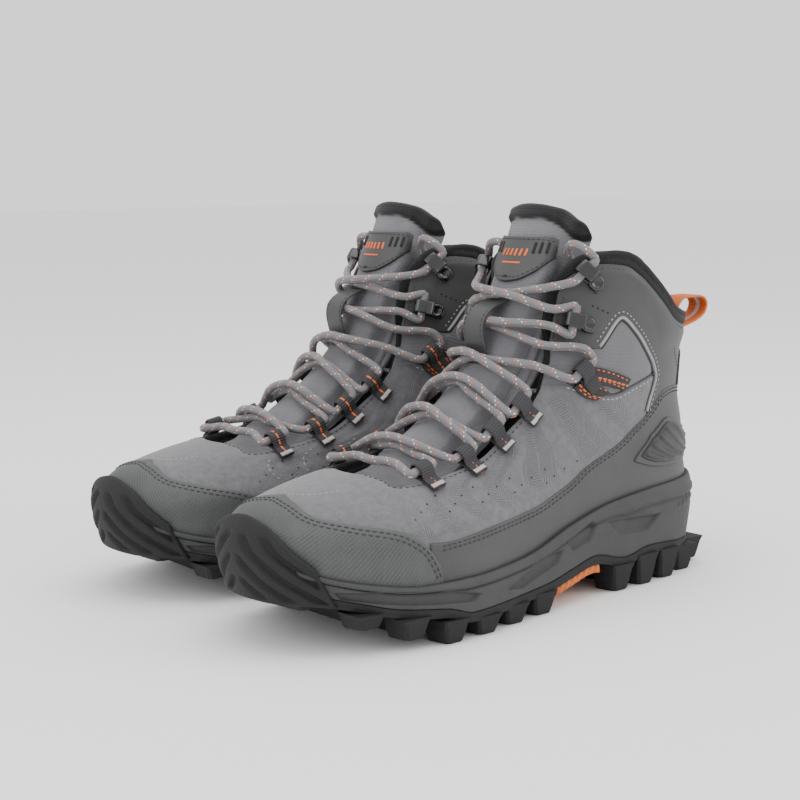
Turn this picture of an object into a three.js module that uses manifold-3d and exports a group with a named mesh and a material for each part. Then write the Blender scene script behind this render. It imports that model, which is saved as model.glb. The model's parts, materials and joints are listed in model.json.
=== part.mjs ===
// A pair of lace-up hiking boots, mm, +Z up, toes along -Y, the wearer's left boot on +X.
import * as THREE from 'three';
import Module from 'manifold-3d';

const wasm = await Module();
wasm.setup();

// ---- driving sizes -------------------------------------------------------------------------
const SOLE_LENGTH = 300;        // toe bumper to the back of the outsole
const BALL_WIDTH = 110;         // widest place of the sole, at the ball of the foot
const COLLAR_HEIGHT = 171;      // ground to the highest place of the collar
const BOOT_SPACING = 114.9;     // between the two boots' middle lines
const TOE_OUT = 1.25;           // degrees each boot is turned out
const GAP = 0.35;               // between pieces that lie against each other
const WELD = 0.01;              // corners this near are one where tapes are joined
const SEAM = 0.7;               // between neighbouring panels of the upper
const PANEL = 1.4;              // thickness of the suede, toe cap, rand and cuff
const LINING = 3.2;             // thickness of the padded lining on the walls
const COUNTER = 1.4;            // thickness of the heel stiffener
const CUP_DEPTH = 7;            // how deep the upper sits in the midsole
const BOARD = 1.6;              // thickness of the lasting board
const INSOLE = 4;               // thickness of the loose insole
const PLATE = 4.5;              // thickness of the outsole between its lugs
const LACE_D = 4.2;             // lace diameter
const WEB_THICK = 1;            // thickness of the lace-loop webbing
const WEB_WIDTH = 8;            // width of the lace-loop webbing
const LACE_PLAY = 0.8;          // round the lace in a webbing loop
const HOOK_ROOM = 4.2;          // a lace hook's height beyond the lace in it
const HOOK_PLATE = 1.5;         // thickness of a lace hook
const HOOK_SEAT = 0.6;          // the hooks' gap over the cuff, under their bulged plates
const HOOK_WIDTH = 7;           // width of a lace hook along the boot
const RIVET_R = 4;              // radius of a rivet head
const KEEPER_WIDTH = 14;        // width of the lace keeper on the tongue
const PULL_WIDTH = 13;          // width of the heel pull webbing
const TONGUE_PAD = 5.5;         // thickness of the padded tongue
const LOOP_HOLE = LACE_D / 2 + LACE_PLAY;
const HOOK_RISE = LACE_D + HOOK_ROOM;
const DRAWN = { length: 300, width: 110, height: 171 };
const KX = BALL_WIDTH / DRAWN.width;
const KY = SOLE_LENGTH / DRAWN.length;
const KZ = COLLAR_HEIGHT / DRAWN.height;

// ---- curves ----------------------------------------------------------------------------------
function smooth(knots) {
  const n = knots.length;
  const step = (i) => (knots[i + 1][1] - knots[i][1]) / (knots[i + 1][0] - knots[i][0]);
  const slope = knots.map((_, i) => {
    if (i === 0 || i === n - 1) return step(Math.min(i, n - 2));
    const a = step(i - 1);
    const b = step(i);
    return a * b > 0 ? (2 * a * b) / (a + b) : 0;
  });
  return (x) => {
    let i = 0;
    while (i < n - 2 && x > knots[i + 1][0]) i += 1;
    const h = knots[i + 1][0] - knots[i][0];
    const t = Math.min(Math.max((x - knots[i][0]) / h, 0), 1);
    const s = 1 - t;
    const ends = (1 + 2 * t) * s * s * knots[i][1] + t * t * (3 - 2 * t) * knots[i + 1][1];
    return ends + t * s * s * h * slope[i] - t * t * s * h * slope[i + 1];
  };
}

function easy(t) {
  const c = Math.min(Math.max(t, 0), 1);
  return c * c * (3 - 2 * c);
}

const mix = (a, b, t) => a + (b - a) * t;

// Middle line at the front and at the back of the boot: height, distance along the boot.
const frontLine = smooth([[15, -136], [30, -142], [40, -145], [47, -145.5], [53, -143.5], [59, -138],
  [64, -129], [67.5, -116], [70, -102], [73, -86], [77, -69], [84, -53.5], [92, -39.5], [100, -28],
  [108, -18], [123, -6], [139, 2], [160, 12], [176, 20], [205, 33]]);
const backLine = smooth([[15, 126], [40, 131], [55, 132], [75, 130], [95, 126.5], [115, 127],
  [135, 131], [205, 134]]);
// Half widths of the boot at seven stations from toe to heel, height by height.
const STATIONS = [0, 0.1, 0.27, 0.47, 0.65, 0.82, 1];
const WIDTHS = [
  [35, [78, 70.5, 60, 46, 41.5, 48, 66]], [50, [76, 69, 59, 46, 42, 48, 62]],
  [60, [62, 60, 52, 44, 41.5, 46, 56]], [65, [50, 51, 47, 43, 41, 45, 53]],
  [72, [44, 44, 44, 42, 41, 44, 51]], [80, [40, 40.5, 42, 41, 40, 43, 49]],
  [100, [39, 39.5, 41, 41, 41, 41.5, 43]], [130, [38, 39, 41, 42.5, 42.5, 42, 41]],
  [170, [39, 41, 43, 44.5, 44.5, 44, 43]]];
const widthAt = STATIONS.map((_, k) => smooth(WIDTHS.map(([z, row]) => [z, row[k]])));
const innerSide = [2, -1.5, -6, -8, -5, -2, 0];

function halfWidth(t, z, side) {
  const level = Math.min(Math.max(z, 35), 170);
  const fade = side < 0 ? Math.min(Math.max((80 - level) / 30, 0), 1) : 0;
  return smooth(STATIONS.map((s, k) => [s, widthAt[k](level) + fade * innerSide[k]]))(t);
}

// The boot's own surface: phi turns from the toe (0) round the outer side to the heel (pi).
function base(phi, z) {
  const t = (1 - Math.cos(phi)) / 2;
  const y = mix(frontLine(z), backLine(z), t);
  const x = halfWidth(t, z, Math.sin(phi)) * Math.sin(phi);
  return new THREE.Vector3(KX * x, KY * y, KZ * z);
}

function along(phi, z) {
  return base(phi + 0.01, z).sub(base(phi - 0.01, z)).multiplyScalar(50);
}

function rising(phi, z) {
  return base(phi, z + 0.4).sub(base(phi, z - 0.4)).multiplyScalar(1.25);
}

function outward(phi, z) {
  return along(phi, z).cross(rising(phi, z)).normalize();
}

function at(phi, z, off) {
  return base(phi, z).addScaledVector(outward(phi, z), off);
}

// A small flat map of the surface round one place: a mm away from the throat, b mm up, off mm out.
function mapAt(phi, z, turn = 0) {
  const side = Math.sign(Math.sin(phi)) || 1;
  const n = outward(phi, z);
  const up = rising(phi, z).normalize().applyAxisAngle(n, THREE.MathUtils.degToRad(turn) * side);
  const across = n.clone().cross(up).normalize();
  const out = across.multiplyScalar(along(phi, z).dot(across) < 0 ? -side : side);
  const origin = base(phi, z);
  return (a, b, off) => {
    let p = phi;
    let h = z;
    for (let k = 0; k < 4; k += 1) {
      const miss = base(p, h).sub(origin);
      const da = a - miss.dot(out);
      const db = b - miss.dot(up);
      const u = along(p, h);
      const v = rising(p, h);
      const det = u.dot(out) * v.dot(up) - v.dot(out) * u.dot(up);
      p += (da * v.dot(up) - db * v.dot(out)) / det;
      h += (db * u.dot(out) - da * u.dot(up)) / det;
    }
    return at(p, h, off);
  };
}

// ---- closed bodies ---------------------------------------------------------------------------
function geometryOf(points, index) {
  const geometry = new THREE.BufferGeometry();
  const flat = points.flatMap((p) => [p.x, p.y, p.z]);
  geometry.setAttribute('position', new THREE.Float32BufferAttribute(flat, 3));
  geometry.setIndex(index);
  geometry.computeVertexNormals();
  return geometry;
}

function volumeOf(points, index) {
  let volume = 0;
  for (let k = 0; k < index.length; k += 3) {
    const [a, b, c] = [points[index[k]], points[index[k + 1]], points[index[k + 2]]];
    volume += a.dot(b.clone().cross(c)) / 6;
  }
  return volume;
}

// Two sheets (s = 0 and 1) of nu x nv cells joined along their edges into one closed body. Its
// ends are capped, run together into a ring, or are pointed already.
function body(nu, nv, point, ends = 'capped') {
  const ring = ends === 'ring';
  const points = [];
  const seen = new Map();
  const index = [];
  const rows = ring ? nu : nu + 1;
  const keep = (p) => {
    const key = [p.x, p.y, p.z].map((c) => Math.round(c * 500)).join();
    if (!seen.has(key)) {
      seen.set(key, points.length);
      points.push(p);
    }
    return seen.get(key);
  };
  const row = (i, s) => Array.from({ length: nv + 1 }, (_, j) => keep(point(i, j, s)));
  const grid = [0, 1].map((s) => Array.from({ length: rows }, (_, i) => row(i, s)));
  const tri = (a, b, c) => {
    if (a !== b && b !== c && a !== c) index.push(a, b, c);
  };
  const quad = (a, b, c, d) => {
    tri(a, b, c);
    tri(a, c, d);
  };
  for (let i = 0; i < nu; i += 1) {
    const k = ring ? (i + 1) % nu : i + 1;
    for (let j = 0; j < nv; j += 1) {
      quad(grid[1][i][j], grid[1][k][j], grid[1][k][j + 1], grid[1][i][j + 1]);
      quad(grid[0][i][j], grid[0][i][j + 1], grid[0][k][j + 1], grid[0][k][j]);
    }
    quad(grid[0][i][0], grid[0][k][0], grid[1][k][0], grid[1][i][0]);
    quad(grid[0][i][nv], grid[1][i][nv], grid[1][k][nv], grid[0][k][nv]);
  }
  if (ends === 'capped') {
    for (let j = 0; j < nv; j += 1) {
      quad(grid[0][0][j], grid[1][0][j], grid[1][0][j + 1], grid[0][0][j + 1]);
      quad(grid[0][nu][j], grid[0][nu][j + 1], grid[1][nu][j + 1], grid[1][nu][j]);
    }
  }
  if (volumeOf(points, index) < 0) index.reverse();
  return geometryOf(points, index);
}

function toSolid(geometry) {
  const flat = geometry.index ? geometry : new THREE.BufferGeometry().copy(geometry);
  const position = flat.attributes.position;
  const seen = new Map();
  const vertProperties = [];
  const name = [];
  for (let i = 0; i < position.count; i += 1) {
    const p = [position.getX(i), position.getY(i), position.getZ(i)];
    const key = p.map((c) => Math.round(c * 500)).join();
    if (!seen.has(key)) {
      seen.set(key, seen.size);
      vertProperties.push(...p);
    }
    name.push(seen.get(key));
  }
  const order = flat.index ? Array.from(flat.index.array) : name.map((_, i) => i);
  const triVerts = [];
  for (let k = 0; k < order.length; k += 3) {
    const [a, b, c] = [name[order[k]], name[order[k + 1]], name[order[k + 2]]];
    if (a !== b && b !== c && a !== c) triVerts.push(a, b, c);
  }
  return new wasm.Manifold(new wasm.Mesh({
    numProp: 3, vertProperties: new Float32Array(vertProperties), triVerts: new Uint32Array(triVerts) }));
}

function fromSolid(solid) {
  const mesh = solid.getMesh();
  const points = [];
  for (let i = 0; i < mesh.vertProperties.length; i += mesh.numProp) {
    points.push(new THREE.Vector3(...mesh.vertProperties.slice(i, i + 3)));
  }
  return geometryOf(points, Array.from(mesh.triVerts));
}

function joined(geometries) {
  const whole = geometries.map(toSolid).reduce((sum, piece) => sum.add(piece));
  const larger = (most, piece) => (piece.volume() > most.volume() ? piece : most);
  return fromSolid(whole.decompose().reduce(larger).simplify(WELD));
}

// A ribbon of the surface between a lower and an upper list of places, one column per entry.
function ribbon(columns, rows, inner, outer, lift = (v) => v) {
  return body(columns.length - 1, rows, (i, j, s) => {
    const [phi0, z0, phi1, z1] = columns[i];
    const v = lift(j / rows);
    const phi = mix(phi0, phi1, v);
    const z = mix(z0, z1, v);
    const off = s ? outer : inner;
    return at(phi, z, typeof off === 'function' ? off(phi, z, v) : off);
  });
}

// Columns that end at the toe's or the heel's middle line, carried on over the inner side.
function acrossToe(columns) {
  const inner = columns.slice(1).map(([a, b, c, d]) => [-a, b, -c, d]).reverse();
  return [...inner, ...columns];
}

function acrossHeel(columns) {
  const turn = 2 * Math.PI;
  return [...columns, ...columns.slice(0, -1).map(([a, b, c, d]) => [turn - a, b, turn - c, d]).reverse()];
}

// ---- sole heights ----------------------------------------------------------------------------
const featherLine = smooth([[-146, 43], [-131, 37], [-113, 32], [-84, 28], [-55, 28], [-24, 29.5],
  [18, 40], [48, 46], [81, 49], [132, 50]]);
const soleLine = smooth([[-146, 30], [-122, 25], [-100, 19.5], [-77, 16.5], [-63, 12.5], [-38, 13],
  [-10, 14.5], [14, 18.5], [32, 21.5], [57, 17], [76, 20], [122, 17], [140, 17]]);
const treadLine = smooth([[-150, 26], [-132, 20], [-115, 13], [-92, 5], [-74, 0],
  [118, 0], [135, 3], [150, 7]]);
const TOE_PHI = [0, 0.2, 0.43, 0.64, 0.84, 1.03];
const HEEL_PHI = [2.04, 2.14, 2.3, 2.46, 2.62, 2.8, 2.97, Math.PI];
const RAND_PHI = [1.06, 1.27, 1.4, 1.53, 1.63, 1.72, 1.81, 1.89, 1.96, ...HEEL_PHI];
const SOLE_PHI = [...TOE_PHI, ...RAND_PHI];

function station(phi) {
  const guess = base(phi, 33).y / KY;
  const y = base(phi, featherLine(guess)).y / KY;
  return { feather: featherLine(y), floor: featherLine(y) - CUP_DEPTH / KZ, sole: soleLine(y), y };
}

const floorAt = (phi, up = 0) => station(phi).floor + up / KZ;

// Level cross lines from the inner to the outer side: one entry of offs per place across.
function crossed(phi, j, across) {
  const middle = across.length - 1;
  const k = Math.abs(j - middle);
  const side = j < middle ? -1 : 1;
  const [off, z] = across[k];
  if (k === 0) return new THREE.Vector3(0, at(phi, across[1][1], across[1][0]).y, KZ * z);
  const p = at(side * phi, z, off);
  p.z = KZ * z;
  return p;
}

function plate(across0, across1, phis = SOLE_PHI) {
  const cells = 2 * (across0(phis[0]).length - 1);
  const ends = phis[0] === 0 ? 'pointed' : 'capped';
  const point = (i, j, s) => crossed(phis[i], j, (s ? across1 : across0)(phis[i]));
  return body(phis.length - 1, cells, point, ends);
}

// ---- sole unit -------------------------------------------------------------------------------
const wallOff = (phi) => mix(2.6, 4.4, easy((Math.abs(phi) - 0.4) / 0.35));

function makeMidsole() {
  return plate((phi) => {
    const { sole } = station(phi);
    const z = sole + GAP / 2 / KZ;
    return [[0, z], [-12, z], [-0.5, z], [wallOff(phi) * 0.6, z], [wallOff(phi) - 0.2, z], [wallOff(phi), z]];
  }, (phi) => {
    const { sole, floor, feather } = station(phi);
    const w = wallOff(phi);
    return [[0, floor], [-12, floor], [GAP + 0.1, floor], [GAP + 0.1, feather],
      [2.2, feather + 0.2], [w, mix(sole, feather, 0.55)]];
  });
}

function makeBoard() {
  const level = (up) => (phi) => {
    const z = floorAt(phi, up);
    return [[0, z], [-14, z], [-PANEL - GAP, z]];
  };
  return plate(level(GAP), level(GAP + BOARD));
}

function makeInsole() {
  const inset = LINING_OUT - LINING - COUNTER - GAP - 4.4;
  const low = GAP * 5 + BOARD;
  return plate((phi) => {
    const z = floorAt(phi, low);
    return [[0, z], [inset - 12, z], [inset - 1, z]];
  }, (phi) => {
    const cup = 3.5 * easy((phi - 1.7) / 0.8);
    const z = floorAt(phi, low + INSOLE);
    return [[0, z], [inset - 12, z + 0.3 * cup], [inset, z + cup]];
  }, SOLE_PHI.filter((_, i) => i % 2 === 0));
}

function block(corners) {
  return body(1, 1, (i, j, s) => new THREE.Vector3(...corners[s * 4 + i * 2 + j]));
}

// One lug: outer edge x at both ends, width across, from the ground line up into the plate.
function lug(y, length, outer, inner, taper) {
  const ground = KZ * Math.max(treadLine(y), 0);
  const root = KZ * (soleLine(Math.min(Math.max(y, -146), 140))) - PLATE + 1.2;
  const sole = Math.sign(outer - inner);
  const x = (v) => KX * v;
  const low = [KY * (y - length / 2 + taper), KY * (y + length / 2 - taper)];
  const high = [KY * (y - length / 2), KY * (y + length / 2)];
  const pull = sole * taper;
  return block([
    [x(inner + pull), low[0], ground], [x(outer - pull), low[0], ground],
    [x(inner + pull), low[1], ground], [x(outer - pull), low[1], ground],
    [x(inner), high[0], root], [x(outer), high[0], root],
    [x(inner), high[1], root], [x(outer), high[1], root]]);
}

function sideAt(y, side) {
  let best = 0.2;
  for (let phi = 0.1; phi < 3.1; phi += 0.01) {
    if (Math.abs(base(phi, 33).y / KY - y) < Math.abs(base(best, 33).y / KY - y)) best = phi;
  }
  return base(side * best, 33).x / KX;
}

function makeOutsole() {
  const level = (down, reach) => (phi) => {
    const z = station(phi).sole - (GAP / 2 + down) / KZ;
    return [[0, z], [-12, z], [wallOff(phi) + 1 + reach + 1.8 * easy((0.5 - phi) / 0.4), z]];
  };
  const slab = plate(level(PLATE, -1), level(0, 0));
  const lugs = [];
  const edgeLugs = [-112, -92, -71, -50, -29, -8, 53, 72, 91, 110];
  for (const side of [-1, 1]) {
    for (const y of edgeLugs) {
      const edge = sideAt(y, side) + side * 4;
      lugs.push(lug(y, 14.5, edge, edge - side * 15, 1));
    }
    lugs.push(lug(128, 13, side * 24, side * 4, 1));
    lugs.push(lug(-130, 11, side * 25, side * 5, 1));
  }
  for (const y of [-102, -81, -60, -39, -18, 62, 82, 101]) {
    const reach = Math.min(Math.abs(sideAt(y, 1)), Math.abs(sideAt(y, -1))) - 17;
    lugs.push(lug(y, 9, reach, -reach, 1));
  }
  const half = [[0, 26, 0, 57], [0.2, 25.5, 0.18, 55], [0.36, 25, 0.33, 49], [0.5, 24, 0.46, 40]];
  const overToe = acrossToe(half);
  const thick = (phi) => 3 - 1.2 * easy((Math.abs(phi) - 0.2) / 0.3);
  const bumper = ribbon(overToe, 3, (phi) => wallOff(phi) + GAP, (phi) => wallOff(phi) + GAP + thick(phi));
  return joined([slab, bumper, ...lugs]);
}

function makeArch() {
  const phis = [1.63, 1.72, 1.81, 1.89];
  const level = (down, edge) => (phi) => {
    const z = station(phi).sole - (GAP * 1.5 + PLATE + down) / KZ;
    return [[0, z], [-14, z], [edge, z]];
  };
  return plate(level(3, 0.5), level(0, 1.5), phis);
}

// ---- panels of the upper ---------------------------------------------------------------------
// Top edge of the toe cap and of the rand, toe to heel.
const lowEdge = smooth([[0, 66], [0.2, 64.5], [0.43, 60], [0.64, 57], [0.84, 53.5], [0.98, 47.5],
  [1.04, 46], [1.27, 48], [1.53, 52], [1.63, 56], [1.72, 61], [1.81, 73], [1.89, 81], [1.96, 85],
  [2.04, 91], [2.14, 98], [2.33, 99], [2.7, 97], [3.2, 96]]);
const half = SEAM / 2;

// A panel that stands in the midsole's cup: its first row ends at the cup's rim.
function cupped(phis, across, rows) {
  const columns = across(phis.map((phi) => [phi, 0, phi, 1]));
  return body(columns.length - 1, rows, (i, j, s) => {
    const [phi] = columns[i];
    const turned = Math.min(Math.abs(phi), 2 * Math.PI - phi);
    const { feather, floor } = station(turned);
    const v = 1 - (1 - Math.max(j - 1, 0) / (rows - 1)) ** 1.5;
    const z = j === 0 ? floor + GAP / KZ : mix(feather + 0.3, lowEdge(turned) - half, v);
    return at(phi, z, s ? 0 : -PANEL);
  });
}

const makeToeCap = () => cupped(TOE_PHI, acrossToe, 6);

const makeRand = () => cupped(RAND_PHI, acrossHeel, 4);

// Throat edge, then the edge under the ankle panel: place on the low edge, place on this edge.
const suedeTop = [[0, 0, 73], [0.2, 0.25, 72.8], [0.43, 0.5, 71.2], [0.64, 0.69, 69.2],
  [0.84, 0.81, 70.6], [1.03, 0.885, 77], [1.27, 0.88, 87], [1.4, 0.905, 98], [1.53, 0.88, 108],
  [1.63, 1.07, 107.5], [1.72, 1.2, 105], [1.81, 1.36, 101.5], [1.87, 1.55, 99.5], [1.91, 1.72, 103],
  [1.94, 1.9, 107]];
const cuffLow = [[0.78, 127.5], [0.91, 127], [1.22, 124.3], [1.35, 138], [1.52, 131], [1.7, 122],
  [1.88, 112], [1.965, 104], [1.975, 95], [1.985, 88.5], [2.04, 92], [2.14, 98.6], [2.33, 99.6],
  [2.6, 98], [2.87, 97.2], [Math.PI, 97]];
const cuffTop = [[0.72, 150], [0.72, 154.4], [0.79, 159], [0.9, 162.8], [1.05, 164.4], [1.24, 163.4],
  [1.42, 158.4], [1.6, 151.4], [1.75, 145.4], [1.9, 139.4], [2, 135.6], [2.15, 132.4], [2.33, 130.4],
  [2.6, 129.4], [2.87, 129], [Math.PI, 129]];

function makeSuede() {
  const columns = suedeTop.map(([low, phi, z]) => [low, lowEdge(low) + half, phi, z - half]);
  return ribbon(acrossToe(columns), 6, -PANEL, 0);
}

function makeAnkle(side) {
  const low = suedeTop.slice(8).map(([, phi, z]) => [phi, z + half]);
  const columns = low.map(([phi, z], i) => [side * phi, z, side * cuffLow[i][0], cuffLow[i][1] - half]);
  return ribbon(columns, 3, -PANEL + 0.4, -0.3);
}

function makeCuff() {
  const columns = cuffLow.map(([phi, z], i) => [phi, z + half, cuffTop[i][0], cuffTop[i][1]]);
  return ribbon(acrossHeel(columns), 4, -PANEL, 0);
}

const LINING_OUT = -PANEL - 1.3;
const LINING_FOOT = GAP * 3 + BOARD;
const COUNTER_OUT = LINING_OUT + 0.5;
const stiffened = (phi, z) => easy((Math.abs(phi) - 1.75) / 0.2) * easy((104 - z) / 8);
const onInstep = (phi, z) => easy((1.75 - phi) / 0.4) * easy((118 - z) / 12);
const INSTEP_DIP = 2.2;
const liningOut = (phi, z) => LINING_OUT - (COUNTER + 3.4) * stiffened(phi, z)
  - INSTEP_DIP * onInstep(phi, z);
const liningThick = (phi, z) => LINING - 1.4 * onInstep(phi, z);

function makeCounter() {
  const top = (phi) => mix(66, 84, easy((phi - 2) / 0.5));
  const columns = HEEL_PHI.slice(1).map((phi) => [phi, floorAt(phi, LINING_FOOT), phi, top(phi)]);
  return ribbon(acrossHeel(columns), 3, COUNTER_OUT - COUNTER, COUNTER_OUT);
}

// Lining: its edge at the throat and the collar, one entry per column from toe to heel.
const liningEdge = [[0, 0, 72], [0.25, 0.27, 71.8], [0.5, 0.52, 70.4], [0.75, 0.7, 68.4],
  [1, 0.82, 70.2], [1.2, 0.9, 78], [1.35, 0.89, 90], [1.48, 0.88, 103], [1.58, 0.84, 115],
  [1.68, 0.76, 128], [1.76, 0.66, 141], [1.84, 0.62, 155], [1.92, 0.68, 163.5], [2, 0.8, 169],
  [2.08, 0.95, 171], [2.2, 1.15, 171], [2.34, 1.35, 168.5], [2.46, 1.6, 159], [2.58, 1.85, 149],
  [2.68, 2.05, 142.8], [2.78, 2.3, 138.8], [2.88, 2.55, 137.4], [2.99, 2.8, 137],
  [Math.PI, Math.PI, 137]];
const collarBand = smooth([[0.6, 6], [0.8, 6], [1, 5], [1.4, 6], [2.2, 6.5], [3.2, 7]]);

function makeLining() {
  const columns = [...liningEdge, ...liningEdge.slice(1, -1).map(([a, b, z]) => [-a, -b, z]).reverse()];
  return body(columns.length, 6, (i, j, s) => {
    const [low, phi, top] = columns[i];
    const roll = Math.abs(phi) > 0.75 && top > 130 ? 1 : 0;
    const band = top > 120 ? collarBand(Math.abs(phi)) : 0.6;
    const floor = floorAt(Math.abs(low), LINING_FOOT);
    const heights = [0, 0.4, 0.76].map((v) => mix(floor, top - band - 2, v));
    const z = [...heights, top - band - 1.2, top - band + 0.2, top - 0.35 * band, top][j];
    const v = (z - floor) / (top - floor);
    const where = mix(low, phi, v);
    const flat = liningOut(Math.abs(where), z) - (s ? 0 : liningThick(Math.abs(where), z));
    const puff = s ? -0.2 : LINING_OUT - LINING - 2.5;
    const rolled = j < 4 ? 0 : roll;
    const crown = j === 6 ? (s ? -1.6 : 1.6) * rolled : 0;
    return at(where, z, mix(flat, puff, rolled) + crown);
  }, 'ring');
}

function makeClip() {
  const edges = [[66, 74], [61.5, 81], [60, 79], [59.5, 74], [61, 71], [62.5, 69.5], [63, 69]];
  const columns = edges.map(([low, top], k) => [HEEL_PHI[k + 1], low, HEEL_PHI[k + 1], top]);
  return ribbon(acrossHeel(columns), 1, GAP + 0.8, 2.5);
}

// ---- tongue ----------------------------------------------------------------------------------
const TONGUE_MID = -3;
const TONGUE_SIDE = LINING_OUT - LINING + 1 - INSTEP_DIP;

function tongueOut(phi, z) {
  const side = easy((Math.abs(phi) - 0.44) / 0.2);
  const front = easy((79 - z) / 4);
  const deep = easy((z - 140) / 15) * 7.6 * easy((Math.abs(phi) - 0.5) / 0.2);
  return mix(TONGUE_MID, TONGUE_SIDE, Math.max(side, front)) - deep;
}

function tongueBody(columns, rows, pad, rise = 1) {
  return body(columns.length - 1, rows, (i, j, s) => {
    const [phi0, z0, phi1, z1] = columns[i];
    const v = (j / rows) ** rise;
    const phi = mix(phi0, phi1, v);
    const z = mix(z0, z1, v);
    const thick = pad * (1 - 0.55 * easy((Math.abs(phi) - 0.5) / 0.4));
    return at(phi, z, tongueOut(phi, z) - (s ? 0 : thick));
  });
}

const flapSplit = [[0, 152], [0.2, 152], [0.4, 152.5], [0.56, 156], [0.7, 167], [0.92, 171]];

function makeTongue() {
  const low = [[0, 71.2], [0.2, 71], [0.4, 70.4], [0.56, 70], [0.66, 70.5], [0.74, 72]];
  const columns = low.map(([phi, z], i) => [phi, z, flapSplit[i][0], flapSplit[i][1] - half]);
  return tongueBody(acrossToe(columns), 10, TONGUE_PAD, 1.5);
}

function makeFlap() {
  const top = [[0, 195.5], [0.2, 195], [0.4, 193.5], [0.6, 191], [0.78, 187], [0.93, 179]];
  const columns = top.map(([phi, z], i) => [flapSplit[i][0], flapSplit[i][1] + half, phi, z]);
  return tongueBody(acrossToe(columns), 5, TONGUE_PAD + 1);
}

function makeBadge() {
  const columns = [[0, 155.5, 0, 178], [0.2, 157, 0.2, 178], [0.36, 160, 0.36, 178], [0.48, 164, 0.48, 178],
    [0.56, 169, 0.54, 177]];
  const over = (up) => (phi, z) => tongueOut(phi, z) + up;
  return ribbon(acrossToe(columns), 4, over(0.8), over(1.9));
}

const BOW = LACE_D * 2 + 3.4;

function makeKeeper() {
  const bow = (v) => Math.sin(Math.PI * Math.min(Math.max((v - 0.12) / 0.76, 0), 1)) ** 0.4;
  return body(10, 2, (i, j, s) => {
    const v = i / 10;
    const z = mix(123.6, 146, v);
    const phi = (KEEPER_WIDTH * (j / 2 - 0.5)) / along(0, z).length();
    return at(phi, z, TONGUE_MID + GAP + BOW * bow(v) + s * 1.3);
  });
}

// ---- webbing, hooks and lace -----------------------------------------------------------------
// Lace loops, toe to ankle: where the lace passes, and how the webbing is turned.
const LOOPS = [[0.7, 71.6, 0], [0.77, 76.5, 0], [0.77, 87, 0], [0.81, 98, 0]];
const ANKLE_LOOP = [1.13, 113.4, -22];
const HOOKS = { low: [0.98, 136, 4], top: [0.95, 158, -26] };
const LACE_OFF = LOOP_HOLE + GAP * 2 + 0.4;

function foldedLoop([phi, z, turn], tail, width, layer) {
  const here = mapAt(phi, z, turn);
  const r = LOOP_HOLE + WEB_THICK / 2;
  const rise = layer + WEB_THICK * 0.5;
  const path = [[tail, rise + WEB_THICK + 0.3], [6, rise + WEB_THICK + 0.4]];
  for (const deg of [55, 100, 150, 205, 255, 300]) {
    const a = THREE.MathUtils.degToRad(deg);
    path.push([r * Math.cos(a), LACE_OFF + r * Math.sin(a)]);
  }
  path.push([6, rise], [tail, rise]);
  return body(path.length - 1, 1, (i, j, s) => {
    const [a, h] = path[i];
    const [a0, h0] = path[Math.max(i - 1, 0)];
    const [a1, h1] = path[Math.min(i + 1, path.length - 1)];
    const long = Math.hypot(a1 - a0, h1 - h0);
    const k = (s - 0.5) * WEB_THICK;
    return here(a - (k * (h1 - h0)) / long, (j - 0.5) * width, h + (k * (a1 - a0)) / long);
  });
}

function strap(columns, inner, outer) {
  return ribbon(columns, 1, inner, outer);
}

function makeWebbing(side) {
  const place = ([phi, z, turn]) => [side * phi, z, turn];
  const loops = LOOPS.map((spot) => foldedLoop(place(spot), 12, WEB_WIDTH, 3.2));
  const ankle = foldedLoop(place(ANKLE_LOOP), 13, WEB_WIDTH, 0.9);
  const line = [[0.84, 69.8], [0.87, 73], [0.9, 77], [0.9, 82], [0.905, 88], [0.92, 94],
    [0.935, 100], [0.96, 104], [1.1, 105.4], [1.28, 103.2]];
  const tape = strap(line.map(([phi, z]) => [side * phi, z, side * (phi + 0.06), z + 0.3]), 3, 3.8);
  const legs = [[[1.22, 108.5, 1.2, 115], [1.4, 105.5, 1.42, 111.5], [1.6, 101.5, 1.63, 107]],
    [[1.2, 104, 1.3, 112.5], [1.26, 101, 1.38, 104.5], [1.38, 98.5, 1.46, 101.5]]];
  const onSide = (columns) => columns.map(([a, b, c, d]) => [side * a, b, side * c, d]);
  const leg = legs.map((columns, k) => strap(onSide(columns), 0.5 + 0.2 * k, 1.6));
  return joined([...loops, ankle, tape, ...leg]);
}

function makeHook(side, [phi, z, turn]) {
  const here = mapAt(side * phi, z, turn);
  const path = [[8.4, 0], [-6.4, 0], [-8, 1.6], [-8, HOOK_RISE - 1.6], [-6.4, HOOK_RISE], [0, HOOK_RISE]];
  return body(path.length - 1, 1, (i, j, s) => {
    const [a, h] = path[i];
    const [a0, h0] = path[Math.max(i - 1, 0)];
    const [a1, h1] = path[Math.min(i + 1, path.length - 1)];
    const long = Math.hypot(a1 - a0, h1 - h0);
    const k = -s * HOOK_PLATE;
    return here(a - (k * (h1 - h0)) / long, (j - 0.5) * HOOK_WIDTH, HOOK_SEAT + h + (k * (a1 - a0)) / long);
  });
}

function makeRivet(side, [phi, z, turn]) {
  const here = mapAt(side * phi, z, turn);
  const sides = 10;
  const seat = HOOK_SEAT + HOOK_PLATE + GAP;
  const rings = [[0, seat], [RIVET_R, seat], [RIVET_R, seat + 1], [RIVET_R - 1.2, seat + 1.8],
    [0, seat + 1.8]];
  return body(sides, 1, (i, j, s) => {
    const angle = (2 * Math.PI * i) / sides;
    const [r, h] = s ? rings[j === 0 ? 2 : 3] : rings[j === 0 ? 1 : 0];
    return here(4.2 + r * Math.cos(angle), r * Math.sin(angle), h);
  }, 'ring');
}

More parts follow.
